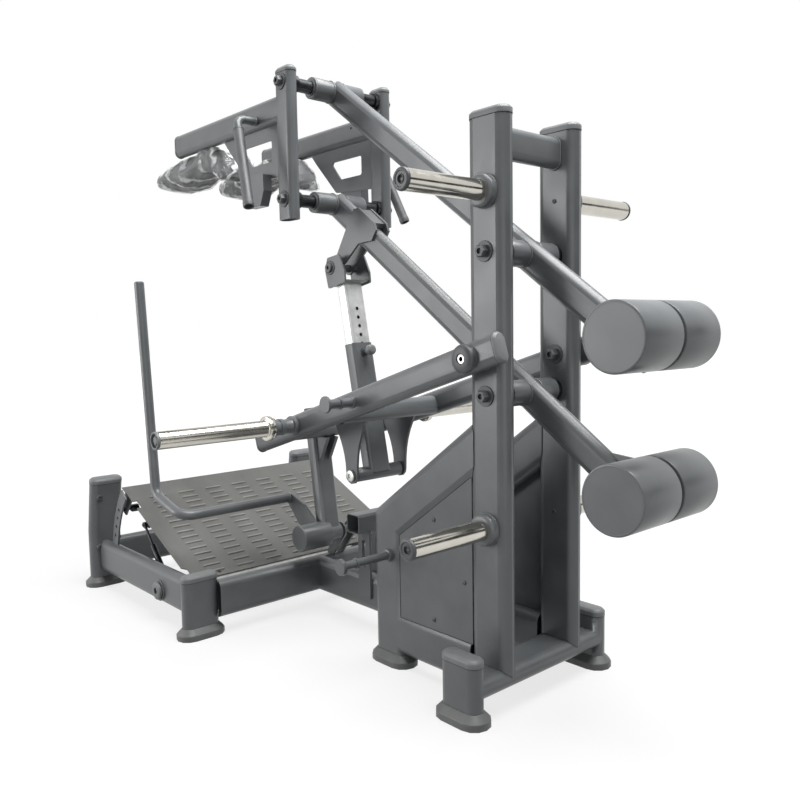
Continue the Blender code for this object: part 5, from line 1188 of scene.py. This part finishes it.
class SQUAT_OT_screws(Operator):
    """Fit the small screws of the panels, posts and uprights."""
    bl_idname = "squat.screws"
    bl_label = "Screws"
    bl_options = {"REGISTER", "UNDO"}

    def execute(self, context):
        spots = [(0.1542, y, z) for y, z in ((-0.193, 0.447), (-0.083, 0.301), (-0.196, 0.174))]
        screws = [dome_screw(at(*spot), X_AXIS, 0.0060, 0.0032) for spot in spots]
        screws += [dome_screw(at(INNER, 0, z), -X_AXIS, 0.0062, 0.0036) for _, z in reversed(STORAGE_HORNS)]
        screws += [dome_screw(at(*spot), Y_AXIS, 0.0125, 0.0060) for spot in POST_BOLTS]
        fasteners("panel_screws", "root", "bolt", screws)
        return {"FINISHED"}


class SQUAT_OT_stage(Operator):
    """Lay the floor, hang the lamps and place the camera."""
    bl_idname = "squat.stage"
    bl_label = "Stage"

    def execute(self, context):
        look = context.scene.squat_stage
        deselect()
        bpy.ops.mesh.primitive_plane_add(size=look.floor, location=(0, 0, 0))
        floor = bpy.context.object
        floor.name = "floor"
        floor.data.materials.append(seamless_paper("seamless_paper", "707070"))
        context.scene.world = light_world(look)
        add_lamp("key_lamp", (4.9, -3.5, 1.6), (0, 0, 0.7), 3.2, look.key)
        add_lamp("top_lamp", (-0.4, 1.3, 5.0), (0, 0, 0.5), 3.4, look.top)
        add_lamp("fill_lamp", (1.6, 3.0, 0.8), (0, 0.6, 0.5), 1.4, look.fill)
        for name, place, size in DARK_CARDS:
            add_card(name, place, size)
        place_camera(look)
        context.scene.view_settings.view_transform = "Standard"
        return {"FINISHED"}


def light_world(look):
    """Return a soft even world that the camera, gloss and glass see as plain white."""
    world = bpy.data.worlds.new("studio")
    world.use_nodes = True
    tree = world.node_tree
    tree.nodes.clear()
    soft = add(tree, "ShaderNodeBackground", {"Color": (1, 1, 1, 1), "Strength": look.world})
    seen = add(tree, "ShaderNodeBackground", {"Color": (1, 1, 1, 1), "Strength": 1.0})
    mixed = add(tree, "ShaderNodeMixShader", {0: seen_rays(tree), 1: soft.outputs[0], 2: seen.outputs[0]})
    add(tree, "ShaderNodeOutputWorld", {"Surface": mixed.outputs[0]})
    return world


def add_lamp(name, place, aim, size, power):
    """Hang a square soft lamp that points at a place."""
    deselect()
    bpy.ops.object.light_add(type="AREA", location=place)
    lamp = bpy.context.object
    lamp.name = name
    lamp.data.size = size
    lamp.data.energy = power
    lamp.rotation_mode = "QUATERNION"
    lamp.rotation_quaternion = (Vector(aim) - Vector(place)).to_track_quat("-Z", "Y")


DARK_CARDS = (("card_level", (-1.6, 5.4, 1.7), (9.0, 1.5)), ("card_low", (0.6, 5.0, 0.30), (7.0, 0.4)),
              ("card_side", (5.4, 1.6, 1.2), (1.2, 3.0)))


def add_card(name, place, size):
    """Stand a dark card out of view, where only polished metal mirrors it."""
    deselect()
    bpy.ops.mesh.primitive_plane_add(size=1, location=place)
    card = bpy.context.object
    card.name = name
    card.scale = (*size, 1)
    card.rotation_mode = "QUATERNION"
    card.rotation_quaternion = (Vector((0, 0, 0.9)) - Vector(place)).to_track_quat("Z", "Y")
    settle(card)
    card.data.materials.append(MATERIALS["seam_and_shade"])
    for ray in ("camera", "diffuse", "transmission", "volume_scatter", "shadow"):
        setattr(card, "visible_" + ray, False)


CAMERA_PLACE = at(1.617, 1.321, 0.954)
CAMERA_AZIMUTH = radians(138.266)
CAMERA_DOWN = radians(5.079)
CAMERA_ROLL = radians(-0.985)


def place_camera(look):
    """Stand the camera where the photograph was taken."""
    deselect()
    bpy.ops.object.camera_add(location=CAMERA_PLACE)
    camera = bpy.context.object
    ahead = Vector((-sin(CAMERA_AZIMUTH) * cos(CAMERA_DOWN), cos(CAMERA_AZIMUTH) * cos(CAMERA_DOWN),
                    -sin(CAMERA_DOWN)))
    right = Vector((cos(CAMERA_AZIMUTH), sin(CAMERA_AZIMUTH), 0))
    up = right.cross(ahead)
    turned_right = right * cos(CAMERA_ROLL) + up * sin(CAMERA_ROLL)
    turned_up = up * cos(CAMERA_ROLL) - right * sin(CAMERA_ROLL)
    turn = Matrix((turned_right, turned_up, -ahead)).transposed()
    camera.rotation_mode = "QUATERNION"
    camera.rotation_quaternion = turn.to_quaternion()
    camera.data.sensor_width = 36.0
    camera.data.lens = look.lens
    camera.data.clip_end = 100.0
    bpy.context.scene.camera = camera


class SQUAT_PT_panel(Panel):
    """List the dressing steps and their sizes."""
    bl_idname = "SQUAT_PT_panel"
    bl_label = "Squat Machine"
    bl_space_type = "VIEW_3D"
    bl_region_type = "UI"
    bl_category = "Squat Machine"

    def draw(self, context):
        for operator in OPERATORS:
            self.layout.operator(operator.bl_idname)
        for group in ("squat_finish", "squat_stage"):
            settings = getattr(context.scene, group)
            for name in settings.__annotations__:
                self.layout.prop(settings, name)


OPERATORS = (SQUAT_OT_frame, SQUAT_OT_caps, SQUAT_OT_storage_horns, SQUAT_OT_counterweights,
             SQUAT_OT_pivots, SQUAT_OT_yoke, SQUAT_OT_pads, SQUAT_OT_load_horns, SQUAT_OT_strut,
             SQUAT_OT_catch, SQUAT_OT_footplate, SQUAT_OT_tilt_parts, SQUAT_OT_screws,
             SQUAT_OT_stage)
CLASSES = (FinishSettings, StageSettings, *OPERATORS, SQUAT_PT_panel)


def register():
    """Register the settings, steps and panel."""
    for item in CLASSES:
        bpy.utils.register_class(item)
    bpy.types.Scene.squat_finish = PointerProperty(type=FinishSettings)
    bpy.types.Scene.squat_stage = PointerProperty(type=StageSettings)


def unregister():
    """Remove the settings, steps and panel."""
    del bpy.types.Scene.squat_stage
    del bpy.types.Scene.squat_finish
    for item in reversed(CLASSES):
        bpy.utils.unregister_class(item)


def main():
    """Dress the machine step by step."""
    register()
    make_materials()
    bpy.ops.squat.frame()
    bpy.ops.squat.caps()
    bpy.ops.squat.storage_horns()
    bpy.ops.squat.counterweights()
    bpy.ops.squat.pivots()
    bpy.ops.squat.yoke()
    bpy.ops.squat.pads()
    bpy.ops.squat.load_horns()
    bpy.ops.squat.strut()
    bpy.ops.squat.catch()
    bpy.ops.squat.footplate()
    bpy.ops.squat.tilt_parts()
    bpy.ops.squat.screws()
    bpy.ops.squat.stage()


if __name__ == "__main__":
    main()
